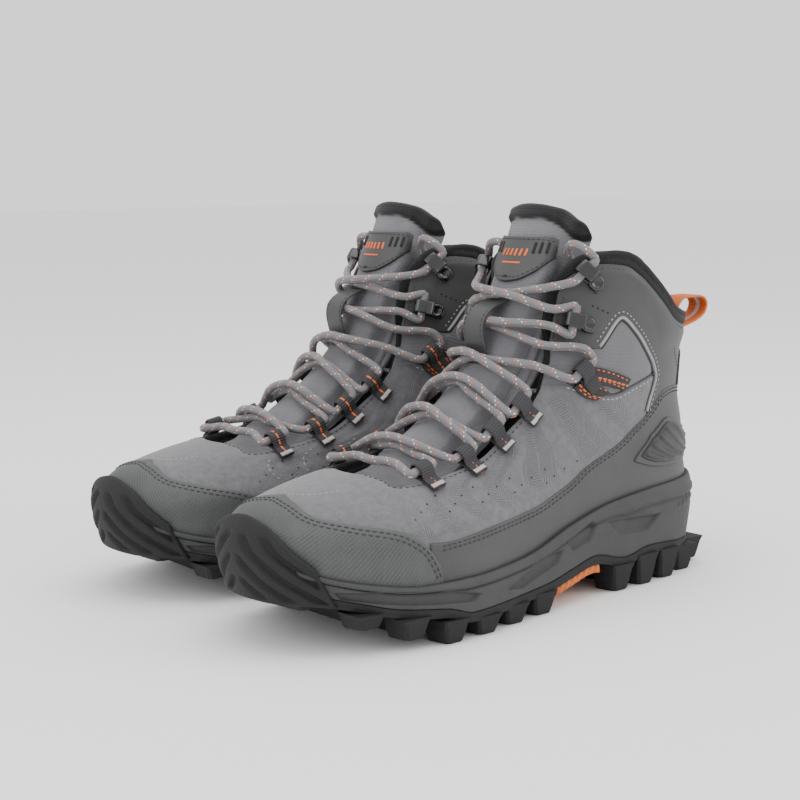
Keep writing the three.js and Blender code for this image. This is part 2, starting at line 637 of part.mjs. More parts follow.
// The lace's way on one strand, toe to collar: side +1 is the strand's own first side. Each guide
// is a webbing loop or a hook, and the lace runs straight through it, bent in towards the tongue.
const HOOK_HOLE = HOOK_SEAT + HOOK_RISE / 2;
const GUIDES = [
  [1, LOOPS[0], 0, LACE_OFF], [-1, LOOPS[1], 0, LACE_OFF], [1, LOOPS[2], 0, LACE_OFF],
  [-1, LOOPS[3], 0, LACE_OFF], [1, ANKLE_LOOP, 0, LACE_OFF, -6.5], [-1, HOOKS.low, -3.7, HOOK_HOLE],
  [1, HOOKS.top, -3.7, HOOK_HOLE]];
// Where the two strands cross on the middle line, guide by guide.
const CROSSINGS = [81.5, 94, 108, 119.6, 135.5, 149.6];
const TONGUE_LIFT = 0.4;
const RUN = WEB_WIDTH / 2 + LACE_D / 2 + 1;
// The lace's ends go over the collar and lie against the lining inside.
const INSIDE = LINING_OUT - LINING - LACE_D / 2;
const TUCK = [[0.78, 172, 3.6], [0.68, 174, -1.4], [0.68, 171, INSIDE + 0.7], [0.82, 165, INSIDE - 3.1],
  [1.04, 156, INSIDE - 3.1], [1.25, 140, INSIDE - 2.3], [1.4, 118, INSIDE - 1.7],
  [1.5, 98, INSIDE - 2.7], [1.75, 92, INSIDE - 4.7], [2.1, 92, INSIDE - 7.7]];

// From a guide on one side over the tongue to a guide on the other side.
function crossing(side, [phi0, z0], [phi1, z1], middle, over) {
  const ways = [];
  if (phi0 > 0.85) ways.push([-0.72, 4.2]);
  ways.push([-0.3, TONGUE_LIFT + over + 0.3], [0, TONGUE_LIFT + over], [0.3, TONGUE_LIFT + over + 0.3]);
  if (phi1 > 0.85) ways.push([0.72, 4.2]);
  return ways.map(([phi, lift]) => {
    const [end, z] = phi < 0 ? [phi0, z0 + 2] : [phi1, z1 - 2];
    return at(side * phi, mix(middle, z, (Math.abs(phi) / end) ** 1.5), lift);
  });
}

function strandPoints(own) {
  const over = own > 0 ? 0 : LACE_D + 0.6;
  const points = [at(own * 0.34, 75, 1.6)];
  let last = null;
  GUIDES.forEach(([side, [phi, z, turn], a, off, bend], k) => {
    if (k > 0) points.push(...crossing(own * side, last, [phi, z], CROSSINGS[k - 1], over));
    const here = mapAt(own * side * phi, z, turn);
    points.push(here(a, -RUN, off), here(a, RUN, off));
    if (bend) points.push(here(bend, RUN + 0.4, off + 0.4));
    last = [phi, z];
  });
  points.push(...TUCK.map(([phi, z, off]) => at(own * phi, z, off)));
  return points;
}

class Route extends THREE.Curve {
  constructor(points) {
    super();
    this.points = points;
  }

  getPoint(t) {
    const s = Math.min(Math.max(t, 0), 1) * (this.points.length - 1);
    const i = Math.min(Math.floor(s), this.points.length - 2);
    return this.points[i].clone().lerp(this.points[i + 1], s - i);
  }

  getPointAt(t) {
    return this.getPoint(t);
  }

  getTangentAt(t) {
    const step = 0.5 / (this.points.length - 1);
    return this.getPoint(t + step).sub(this.getPoint(t - step)).normalize();
  }
}

function makeLace() {
  const points = [...strandPoints(1).reverse(), at(0, 75.8, 0.8), ...strandPoints(-1)];
  const outline = new THREE.Shape(Array.from({ length: 8 }, (_, k) => new THREE.Vector2(
    (LACE_D / 2) * Math.cos((k * Math.PI) / 4), (LACE_D / 2) * Math.sin((k * Math.PI) / 4))));
  return fromSolid(toSolid(new THREE.ExtrudeGeometry(outline, {
    steps: points.length - 1, extrudePath: new Route(points), bevelEnabled: false })));
}

function makePull() {
  const path = [[132.8, 124.4], [139, 125.6], [150, 128.6], [157, 132.6], [158.6, 137],
    [151, 141.4], [141, 141.4], [135.4, 137.8], [133, 133]];
  return body(path.length - 1, 1, (i, j, s) => {
    const [y, z] = path[i];
    const [y0, z0] = path[Math.max(i - 1, 0)];
    const [y1, z1] = path[Math.min(i + 1, path.length - 1)];
    const long = Math.hypot(y1 - y0, z1 - z0);
    const k = (s - 0.5) * 1.4;
    const flat = [KY * y - (k * (z1 - z0)) / long, KZ * z + (k * (y1 - y0)) / long];
    return new THREE.Vector3((j - 0.5) * PULL_WIDTH, ...flat);
  });
}

// ---- colours and the pair --------------------------------------------------------------------
const LOOK = {
  suede: ['#8f8d90', 0.95, 0], leather: ['#5f6160', 0.6, 0], rand: ['#66686a', 0.55, 0],
  textile: ['#8c8b8f', 0.9, 0], fleece: ['#26262a', 1, 0], webbing: ['#4b4b4e', 0.85, 0],
  lace: ['#a6a4a4', 0.8, 0], orange: ['#c87830', 0.5, 0], foam: ['#5a5a58', 0.7, 0],
  rubber: ['#3a3a3c', 0.8, 0], hard: ['#151517', 0.3, 0], board: ['#b09a74', 0.9, 0],
  pull: ['#c06a2c', 0.8, 0] };

const PIECES = [
  ['outsole', makeOutsole, 'rubber'], ['arch_plate', makeArch, 'orange'], ['midsole', makeMidsole, 'foam'],
  ['lasting_board', makeBoard, 'board'], ['insole', makeInsole, 'fleece'], ['suede_upper', makeSuede, 'suede'],
  ['toe_cap', makeToeCap, 'leather'], ['rand', makeRand, 'rand'], ['heel_counter', makeCounter, 'board'],
  ['cuff', makeCuff, 'rand'], ['ankle_panel_lateral', () => makeAnkle(1), 'textile'],
  ['ankle_panel_medial', () => makeAnkle(-1), 'textile'], ['collar_lining', makeLining, 'fleece'],
  ['heel_clip', makeClip, 'hard'], ['tongue', makeTongue, 'textile'], ['tongue_flap', makeFlap, 'textile'],
  ['tongue_badge', makeBadge, 'rand'], ['lace_keeper', makeKeeper, 'rand'], ['lace', makeLace, 'lace'],
  ['pull_loop', makePull, 'pull'], ['webbing_lateral', () => makeWebbing(1), 'webbing'],
  ['webbing_medial', () => makeWebbing(-1), 'webbing']];
for (const [where, side] of [['lateral', 1], ['medial', -1]]) {
  for (const level of ['low', 'top']) {
    PIECES.push([`hook_${level}_${where}`, () => makeHook(side, HOOKS[level]), 'hard']);
    PIECES.push([`rivet_${level}_${where}`, () => makeRivet(side, HOOKS[level]), 'hard']);
  }
}

const pair = new THREE.Group();
pair.name = 'hiking_boots';
for (const [side, sign] of [['left', 1], ['right', -1]]) {
  const boot = new THREE.Group();
  boot.scale.x = sign;
  boot.rotation.z = sign * THREE.MathUtils.degToRad(TOE_OUT);
  boot.position.x = (sign * BOOT_SPACING * KX) / 2;
  for (const [name, make, look] of PIECES) {
    const [color, roughness, metalness] = LOOK[look];
    const mesh = new THREE.Mesh(make(), new THREE.MeshStandardMaterial({ color, roughness, metalness }));
    mesh.name = `${side}_${name}`;
    boot.add(mesh);
  }
  pair.add(boot);
}

const box = new THREE.Box3().setFromObject(pair);
for (const boot of pair.children) {
  boot.position.y -= (box.min.y + box.max.y) / 2;
  boot.position.z -= box.min.z;
}

export default pair;
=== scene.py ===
"""Dresses a pair of lace-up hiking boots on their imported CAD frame.

A boot is drawn in millimetres in its own frame: x towards its outer side, y from toe to heel, z up
from the ground. Boot.place carries those points to the pair's frame in metres, and mirrors them for
the right boot. Every shape is worked out on the boot's last, a surface with two parameters: phi
turns from the toe (0) round the outer side (positive) or the inner side (negative) to the heel
(pi), and z is the drawn height.
"""

from __future__ import annotations

import json
import logging
import math
from dataclasses import dataclass, field
from typing import Callable, Sequence

import bpy
import numpy as np
from mathutils import Matrix, Vector

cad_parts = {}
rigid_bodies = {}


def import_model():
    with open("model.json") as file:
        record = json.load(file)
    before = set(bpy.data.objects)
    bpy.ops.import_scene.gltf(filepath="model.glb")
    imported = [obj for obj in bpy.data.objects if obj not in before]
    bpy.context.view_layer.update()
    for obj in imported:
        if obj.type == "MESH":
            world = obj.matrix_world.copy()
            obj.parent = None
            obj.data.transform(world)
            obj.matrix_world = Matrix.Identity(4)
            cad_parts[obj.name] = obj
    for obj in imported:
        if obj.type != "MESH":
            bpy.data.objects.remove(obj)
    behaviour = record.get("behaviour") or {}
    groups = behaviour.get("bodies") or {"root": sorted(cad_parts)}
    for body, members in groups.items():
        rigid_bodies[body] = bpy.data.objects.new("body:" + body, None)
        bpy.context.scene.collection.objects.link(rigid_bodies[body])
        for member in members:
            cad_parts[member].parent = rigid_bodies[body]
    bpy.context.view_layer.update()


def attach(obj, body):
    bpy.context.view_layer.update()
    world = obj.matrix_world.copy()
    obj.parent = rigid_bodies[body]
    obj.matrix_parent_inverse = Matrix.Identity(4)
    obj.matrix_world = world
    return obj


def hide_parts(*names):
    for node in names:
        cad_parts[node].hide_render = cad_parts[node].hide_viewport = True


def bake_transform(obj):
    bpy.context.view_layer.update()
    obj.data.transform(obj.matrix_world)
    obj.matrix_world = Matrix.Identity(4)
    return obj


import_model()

log = logging.getLogger("boots")

Array = np.ndarray
Place = tuple[float, float]
Column = tuple[float, float, float, float]
FlatMap = Callable[[Array, Array, Array], Array]
Tree = bpy.types.NodeTree

# Driving sizes, mm and degrees, as the CAD has them.
BOOT_SPACING = 114.9
TOE_OUT = 1.25
PAIR_SHIFT = 3.35  # the pair's middle, from heel to toe, in a boot's own frame
PANEL = 1.4
LINING = 3.2
COUNTER = 1.4
CUP_DEPTH = 7.0
BOARD = 1.6
INSOLE = 4.0
PLATE = 4.5
LACE_D = 4.2
WEB_THICK = 1.0
WEB_WIDTH = 8.0
LOOP_HOLE = 2.9
HOOK_PLATE = 1.5
HOOK_SEAT = 0.6
HOOK_WIDTH = 7.0
HOOK_RISE = 8.4
RIVET_R = 4.0
KEEPER_WIDTH = 14.0
PULL_WIDTH = 13.0
TONGUE_PAD = 5.5
GAP = 0.35


# ---- curves -----------------------------------------------------------------------------------
TURN = 2 * math.pi


def easy(t: Array | float) -> Array:
    """Smooth step: 0 before 0, 1 after 1, and 3t^2 - 2t^3 between."""
    c = np.clip(t, 0.0, 1.0)
    return c * c * (3.0 - 2.0 * c)


def mix(a: Array | float, b: Array | float, t: Array | float) -> Array:
    """Straight mix from a to b."""
    return a + (b - a) * t


def unit(v: Array) -> Array:
    """Vectors scaled to length 1 along the last axis."""
    return v / np.maximum(np.linalg.norm(v, axis=-1, keepdims=True), 1e-9)


def monotone_rows(xk: Array, rows: Array, x: Array) -> Array:
    """Cubic through each row's own values at the shared knots, without overshoot.

    Each inner slope is the harmonic mean of the two chords beside it, or 0 where they turn.

    Args:
        xk: Knots, shape (k,).
        rows: Values, shape (n, k).
        x: Where each row is read, shape (n,).

    Returns:
        The values, shape (n,).
    """
    h = np.diff(xk)
    chord = np.diff(rows, axis=1) / h
    slope = np.empty_like(rows)
    slope[:, 0], slope[:, -1] = chord[:, 0], chord[:, -1]
    a, b = chord[:, :-1], chord[:, 1:]
    total = np.where(a + b == 0, 1.0, a + b)
    slope[:, 1:-1] = np.where(a * b > 0, 2 * a * b / total, 0.0)
    i = np.clip(np.searchsorted(xk, x) - 1, 0, len(h) - 1)
    r = np.arange(len(rows))
    t = np.clip((x - xk[i]) / h[i], 0.0, 1.0)
    s = 1.0 - t
    ends = (1 + 2 * t) * s * s * rows[r, i] + t * t * (3 - 2 * t) * rows[r, i + 1]
    return ends + t * s * s * h[i] * slope[r, i] - t * t * s * h[i] * slope[r, i + 1]


def monotone(knots: Sequence[Sequence[float]], x: Array | float) -> Array:
    """The same cubic for one row of knots (x, y), read at any x."""
    table = np.asarray(knots, float)
    flat = np.atleast_1d(np.asarray(x, float)).ravel()
    rows = np.broadcast_to(table[:, 1], (flat.size, len(table)))
    return monotone_rows(table[:, 0], rows.copy(), flat).reshape(np.shape(x))


def rail(points: Sequence[Sequence[float]], count: int,
         weight: Sequence[float] | None = None) -> Array:
    """Smooth path through a list of points, at even steps of its own length.

    Args:
        points: The points, shape (m, k).
        count: How many points come back.
        weight: Millimetres for one unit of each column, for the steps' lengths.

    Returns:
        The path, shape (count, k).
    """
    table = np.asarray(points, float)
    scale = np.ones(table.shape[1]) if weight is None else np.asarray(weight, float)
    steps = np.linalg.norm(np.diff(table, axis=0) * scale, axis=1)
    s = np.concatenate([[0.0], np.cumsum(np.maximum(steps, 1e-6))])
    x = np.linspace(0.0, s[-1], count)
    columns = [monotone(np.stack([s, table[:, k]], 1), x) for k in range(table.shape[1])]
    return np.stack(columns, 1)


def distances(points: Array) -> Array:
    """Distance along a polyline at each of its points, from 0."""
    return np.concatenate([[0.0], np.cumsum(np.linalg.norm(np.diff(points, axis=0), axis=1))])


def from_toe(phi: Array) -> Array:
    """How far places are turned from the toe, on either side: 0 to pi."""
    return np.minimum(np.abs(phi), TURN - np.abs(phi))


def round_over(distance: Array, radius: float) -> Array:
    """Drop of a quarter-round edge, in radii: 1 at the edge, 0 from one radius inwards."""
    return 1 - np.sqrt(1 - (1 - np.clip(distance / radius, 0, 1)) ** 2)


def crowded(count: int, power: float) -> Array:
    """Shares from -1 to 1 that lie closer together towards both ends."""
    share = np.linspace(-1, 1, count)
    return np.sign(share) * (1 - (1 - np.abs(share)) ** power)


def spanned(left: Array, right: Array, share: Array) -> Array:
    """Rows of points from left to right, at shares from -1 to 1."""
    t = (share[None, :, None] + 1) / 2
    return left[:, None] * (1 - t) + right[:, None] * t


def through(points: Array, per_gap: int) -> Array:
    """Centripetal Catmull-Rom curve through points in space, per_gap steps between two of them."""
    p = np.concatenate([[2 * points[0] - points[1]], points, [2 * points[-1] - points[-2]]])
    t = np.concatenate([[0.0], np.cumsum(np.sqrt(np.linalg.norm(np.diff(p, axis=0), axis=1)))])
    u = np.linspace(0.0, 1.0, per_gap, endpoint=False)
    i = np.arange(len(points) - 1)
    t0, t1, t2, t3 = (t[i + k][:, None, None] for k in range(4))
    p0, p1, p2, p3 = (p[i + k][:, None, :] for k in range(4))
    x = t1 + (t2 - t1) * u[None, :, None]
    a1 = (t1 - x) / (t1 - t0) * p0 + (x - t0) / (t1 - t0) * p1
    a2 = (t2 - x) / (t2 - t1) * p1 + (x - t1) / (t2 - t1) * p2
    a3 = (t3 - x) / (t3 - t2) * p2 + (x - t2) / (t3 - t2) * p3
    b1 = (t2 - x) / (t2 - t0) * a1 + (x - t0) / (t2 - t0) * a2
    b2 = (t3 - x) / (t3 - t1) * a2 + (x - t1) / (t3 - t1) * a3
    curve = (t2 - x) / (t2 - t1) * b1 + (x - t1) / (t2 - t1) * b2
    return np.concatenate([curve.reshape(-1, points.shape[1]), points[-1:]])


def even_steps(line: Array, step: float) -> Array:
    """A polyline resampled at even steps of about the given length."""
    s = distances(line)
    x = np.linspace(0.0, s[-1], max(int(round(s[-1] / step)), 2) + 1)
    return np.stack([np.interp(x, s, line[:, k]) for k in range(line.shape[1])], 1)


# ---- the last ---------------------------------------------------------------------------------
@dataclass(frozen=True)
class Last:
    """The boot's own surface, which every piece is laid on."""

    front: tuple[Place, ...] = (
        (15, -136), (30, -142), (40, -145), (47, -145.5), (53, -143.5), (59, -138), (64, -129),
        (67.5, -116), (70, -102), (73, -86), (77, -69), (84, -53.5), (92, -39.5), (100, -28),
        (108, -18), (123, -6), (139, 2), (160, 12), (176, 20), (205, 33))
    back: tuple[Place, ...] = (
        (15, 126), (40, 131), (55, 132), (75, 130), (95, 126.5), (115, 127), (135, 131), (205, 134))
    stations: tuple[float, ...] = (0, 0.1, 0.27, 0.47, 0.65, 0.82, 1)
    heights: tuple[float, ...] = (35, 50, 60, 65, 72, 80, 100, 130, 170)
    widths: tuple[tuple[float, ...], ...] = (
        (78, 70.5, 60, 46, 41.5, 48, 66), (76, 69, 59, 46, 42, 48, 62),
        (62, 60, 52, 44, 41.5, 46, 56), (50, 51, 47, 43, 41, 45, 53),
        (44, 44, 44, 42, 41, 44, 51), (40, 40.5, 42, 41, 40, 43, 49),
        (39, 39.5, 41, 41, 41, 41.5, 43), (38, 39, 41, 42.5, 42.5, 42, 41),
        (39, 41, 43, 44.5, 44.5, 44, 43))
    inner_side: tuple[float, ...] = (2, -1.5, -6, -8, -5, -2, 0)

    def half_width(self, t: Array, z: Array, side: Array) -> Array:
        """Half width at a share t of the length, a height, and the sign of the side."""
        level = np.clip(z, self.heights[0], self.heights[-1])
        widths = np.asarray(self.widths, float)
        rows = np.stack([monotone(np.stack([self.heights, widths[:, k]], 1), level)
                         for k in range(len(self.stations))], 1)
        fade = np.where(side < 0, np.clip((80 - level) / 30, 0, 1), 0.0)
        rows = rows + fade[:, None] * np.asarray(self.inner_side)
        return monotone_rows(np.asarray(self.stations, float), rows, t)

    def base(self, phi: Array | float, z: Array | float) -> Array:
        """Points of the surface: y runs from the front to the back line, x is a half width."""
        phi, z = np.broadcast_arrays(np.asarray(phi, float), np.asarray(z, float))
        p, h = phi.ravel(), z.ravel()
        t = (1 - np.cos(p)) / 2
        y = mix(monotone(self.front, h), monotone(self.back, h), t)
        x = self.half_width(t, h, np.sin(p)) * np.sin(p)
        return np.stack([x, y, h], 1).reshape(*phi.shape, 3)

    def along(self, phi: Array, z: Array) -> Array:
        """The surface's own direction in phi, mm per radian."""
        return (self.base(phi + 0.01, z) - self.base(phi - 0.01, z)) * 50

    def rising(self, phi: Array, z: Array) -> Array:
        """The surface's own direction in z, mm per mm."""
        return (self.base(phi, z + 0.4) - self.base(phi, z - 0.4)) * 1.25

    def outward(self, phi: Array, z: Array) -> Array:
        """Unit vectors out of the boot."""
        return unit(np.cross(self.along(phi, z), self.rising(phi, z)))

    def at(self, phi: Array | float, z: Array | float, off: Array | float = 0.0) -> Array:
        """Points a given distance off the surface."""
        phi, z = np.broadcast_arrays(np.asarray(phi, float), np.asarray(z, float))
        return self.base(phi, z) + self.outward(phi, z) * np.asarray(off, float)[..., None]

    def walk(self, phi: Array, z: Array, direction: Array) -> tuple[Array, Array]:
        """Places reached from (phi, z) by a step in space, kept on the surface.

        Args:
            phi: Starting places.
            z: Starting heights.
            direction: The step of each, mm, shape (..., 3).

        Returns:
            The new phi and z: each step of three solves the step in the two surface directions.
        """
        origin = self.base(phi, z)
        p, h = np.array(phi, float), np.array(z, float)
        for _ in range(3):
            miss = direction - (self.base(p, h) - origin)
            u, v = self.along(p, h), self.rising(p, h)
            uu, uv, vv = ((a * b).sum(-1) for a, b in ((u, u), (u, v), (v, v)))
            mu, mv = (miss * u).sum(-1), (miss * v).sum(-1)
            det = uu * vv - uv * uv
            p = p + (mu * vv - mv * uv) / det
            h = h + (mv * uu - mu * uv) / det
        return p, h

    def beside(self, path: Array, shift: float) -> Array:
        """A path of places moved sideways on the surface, to the left of its own direction."""
        points = self.base(path[:, 0], path[:, 1])
        tangent = unit(np.gradient(points, axis=0))
        normal = self.outward(path[:, 0], path[:, 1])
        phi, z = self.walk(path[:, 0], path[:, 1], np.cross(normal, tangent) * shift)
        return np.stack([phi, z], 1)

    def flat_map(self, phi: float, z: float, turn: float = 0.0) -> FlatMap:
        """A small flat map round one place: a mm away from the throat, b mm up, off mm out."""
        side = 1.0 if math.sin(phi) >= 0 else -1.0
        n = self.outward(phi, z)
        up = unit(self.rising(phi, z))
        angle = math.radians(turn) * side
        up = up * math.cos(angle) + np.cross(n, up) * math.sin(angle)
        across = np.cross(n, up)
        flip = -side if float((self.along(phi, z) * across).sum()) < 0 else side
        out = unit(across) * flip

        def place(a: Array | float, b: Array | float, off: Array | float) -> Array:
            a, b, off = np.broadcast_arrays(*(np.asarray(v, float) for v in (a, b, off)))
            step = a[..., None] * out + b[..., None] * up
            p, h = self.walk(np.full(a.shape, phi), np.full(a.shape, z), step)
            return self.at(p, h, off)

        return place


LAST = Last()


# ---- meshes -----------------------------------------------------------------------------------
@dataclass
class Patch:
    """Points in a boot's own mm with their faces, UVs in mm and named values per point."""

    points: Array
    quads: Array
    uv: Array
    tris: Array = field(default_factory=lambda: np.zeros((0, 3), int))
    marks: dict[str, Array] = field(default_factory=dict)


def merged(patches: Sequence[Patch]) -> Patch:
    """Several patches as one."""
    starts = np.cumsum([0] + [len(p.points) for p in patches])
    names = {name for p in patches for name in p.marks}
    return Patch(
        np.concatenate([p.points for p in patches]),
        np.concatenate([p.quads + s for p, s in zip(patches, starts)]),
        np.concatenate([p.uv for p in patches]),
        np.concatenate([p.tris + s for p, s in zip(patches, starts)]),
        {n: np.concatenate([p.marks.get(n, np.zeros(len(p.points))) for p in patches])
         for n in names})


def grid_quads(rows: int, cols: int, ring: bool, start: int = 0) -> Array:
    """Quads of a grid of points, rows by cols, its last row joined to its first if it is a ring."""
    i = np.arange(rows if ring else rows - 1)
    j = np.arange(cols - 1)
    i, j = (k.ravel() for k in np.meshgrid(i, j, indexing="ij"))
    k = (i + 1) % rows
    return start + np.stack([i * cols + j, k * cols + j, k * cols + j + 1, i * cols + j + 1], 1)


def grid_uv(points: Array) -> Array:
    """Lengths in mm along and across a grid of points, shape (rows, cols, 2)."""
    u = np.linalg.norm(np.diff(points, axis=0), axis=2).mean(1)
    v = np.linalg.norm(np.diff(points, axis=1), axis=2)
    uv = np.zeros((*points.shape[:2], 2))
    uv[1:, :, 0] = np.cumsum(u)[:, None]
    uv[:, 1:, 1] = np.cumsum(v, axis=1)
    return uv


def grid_patch(points: Array, ring: bool = False, flip: int = 1) -> Patch:
    """A grid of points as one sheet; flip is -1 where its faces would point inwards."""
    rows, cols = points.shape[:2]
    quads = grid_quads(rows, cols, ring)[:, ::flip]
    return Patch(points.reshape(-1, 3), quads, grid_uv(points).reshape(-1, 2))


def tube_quads(rings: int, sides: int) -> Array:
    """Quads round a tube whose points come ring by ring."""
    order = np.arange(rings * sides).reshape(rings, sides).T.ravel()
    return order[grid_quads(sides, rings, True)]


def sheet_solid(outer: Array, inner: Array, ring: bool = False,
                marks: dict[str, Array] | None = None) -> Patch:
    """Closed body between two grids of points: both sheets, and a strip along each open edge.

    Args:
        outer: Outer points, shape (rows, cols, 3).
        inner: Inner points, the same shape.
        ring: Whether the last row joins the first.
        marks: Named values on the outer grid, repeated on the inner one.

    Returns:
        The body, its faces out where phi rises with the rows and z with the columns.
    """
    rows, cols, _ = outer.shape
    n = rows * cols
    top = grid_quads(rows, cols, ring)
    under = grid_quads(rows, cols, ring, n)[:, ::-1]
    faces = [top, under]
    i = np.arange(rows if ring else rows - 1)
    k = (i + 1) % rows
    for j, flip in ((0, 1), (cols - 1, -1)):
        strip = np.stack([i * cols + j, i * cols + j + n, k * cols + j + n, k * cols + j], 1)
        faces.append(strip[:, ::flip])
    if not ring:
        j = np.arange(cols - 1)
        for i, flip in ((0, -1), (rows - 1, 1)):
            a = i * cols + j
            faces.append(np.stack([a, a + n, a + n + 1, a + 1], 1)[:, ::flip])
    uv = grid_uv(outer).reshape(-1, 2)
    named = {name: np.tile(value.ravel(), 2) for name, value in (marks or {}).items()}
    points = np.concatenate([outer.reshape(-1, 3), inner.reshape(-1, 3)])
    return Patch(points, np.concatenate(faces), np.tile(uv, (2, 1)), marks=named)


def swept(path: Array, normals: Array, profile: Array) -> Patch:
    """A closed profile carried along a path, each end capped to the middle of its outline.

    Args:
        path: Points of the path, shape (n, 3).
        normals: The profile's second axis at each of them, shape (n, 3).
        profile: Its outline, anticlockwise, as (across, up) pairs, shape (m, 2) or (n, m, 2).

    Returns:
        The body, with u along the path and v round the outline.
    """
    tangent = unit(np.gradient(path, axis=0))
    up = unit(normals - (normals * tangent).sum(1, keepdims=True) * tangent)
    across = np.cross(tangent, up)
    shape = np.broadcast_to(profile, (len(path), *profile.shape[-2:]))
    points = path[:, None] + shape[..., :1] * across[:, None] + shape[..., 1:] * up[:, None]
    n, m = points.shape[:2]
    s, girth = distances(path), distances(shape[0])
    uv = np.stack(np.broadcast_arrays(s[:, None], girth[None, :]), 2).reshape(-1, 2)
    middles = np.stack([points[0].mean(0), points[-1].mean(0)])
    k = np.arange(m)
    k1 = (k + 1) % m
    start = np.stack([np.full(m, n * m), k, k1], 1)
    end = np.stack([np.full(m, n * m + 1), (n - 1) * m + k1, (n - 1) * m + k], 1)
    return Patch(np.concatenate([points.reshape(-1, 3), middles]), tube_quads(n, m)[:, ::-1],
                 np.concatenate([uv, [[0.0, 0.0], [s[-1], 0.0]]]), np.concatenate([start, end]))


def outline_ellipse(width: float, height: float, sides: int, square: float = 2.0) -> Array:
    """Outline of a superellipse: 2 is an ellipse, and larger powers are squarer."""
    a = np.linspace(0, TURN, sides, endpoint=False)
    c, s = np.cos(a), np.sin(a)
    return np.stack([width / 2 * np.sign(c) * np.abs(c) ** (2 / square),
                     height / 2 * np.sign(s) * np.abs(s) ** (2 / square)], 1)


@dataclass(frozen=True)
class Thread:
    """One kind of stitch, in mm."""

    pitch: float = 3.1  # from one stitch to the next
    length: float = 2.3
    width: float = 0.75
    rise: float = 0.55  # how far it stands up


class Threads:
    """Every kind of stitch on the boots, named for what it holds."""

    leather = Thread()
    cloth = Thread(3.0, 2.0, 0.6, 0.4)
    ankle = Thread(2.6, 1.3, 0.6, 0.4)
    cuff = Thread(2.8, 2.0, 0.6, 0.4)
    quarter = Thread(3.0, 1.8, 0.5, 0.35)
    vamp = Thread(2.6, 1.6, 0.5, 0.35)
    badge = Thread(2.6, 1.9, 0.6, 0.4)
    keeper = Thread(2.6, 1.8, 0.5, 0.4)
    strap = Thread(3.0, 1.9, 0.7, 0.4)
    loop = Thread(2.4, 1.5, 0.7, 0.4)


STITCH_RINGS = 5
STITCH_SIDES = 6


def stitches(line: Array, normals: Array, thread: Thread) -> Patch:
    """A row of stitches along a line: each is half a grain of rice, sunk at both its ends.

    Args:
        line: The seam's points, shape (n, 3).
        normals: Directions out of the surface at each of them.
        thread: The kind of stitch.
    """
    s = distances(line)
    count = max(int(s[-1] / thread.pitch), 1)
    x = (np.arange(count) + 0.5) * s[-1] / count
    at = np.stack([np.interp(x, s, line[:, k]) for k in range(3)], 1)
    along = unit(np.stack([np.interp(x + 0.5, s, line[:, k]) - np.interp(x - 0.5, s, line[:, k])
                           for k in range(3)], 1))
    n = unit(np.stack([np.interp(x, s, normals[:, k]) for k in range(3)], 1))
    n = unit(n - (n * along).sum(1, keepdims=True) * along)
    side = np.cross(n, along)
    a = np.linspace(-1, 1, STITCH_RINGS)
    b = np.linspace(0, TURN, STITCH_SIDES, endpoint=False)
    swell = np.sqrt(np.clip(1 - np.abs(a) ** 3, 0.02, 1))
    t = np.repeat(a * thread.length / 2, STITCH_SIDES)
    across = (swell[:, None] * np.cos(b) * thread.width / 2).ravel()
    up = (swell[:, None] * np.sin(b) * thread.rise / 2).ravel() + thread.rise * 0.25
    points = (at[:, None] + t[None, :, None] * along[:, None]
              + across[None, :, None] * side[:, None] + up[None, :, None] * n[:, None])
    caps = np.array([[3, 2, 1, 0], [5, 4, 3, 0], [24, 25, 26, 27], [24, 27, 28, 29]])
    one = np.concatenate([tube_quads(STITCH_RINGS, STITCH_SIDES), caps])
    size = STITCH_RINGS * STITCH_SIDES
    quads = (one[None] + size * np.arange(count)[:, None, None]).reshape(-1, 4)
    return Patch(points.reshape(-1, 3), quads, np.zeros((count * size, 2)))


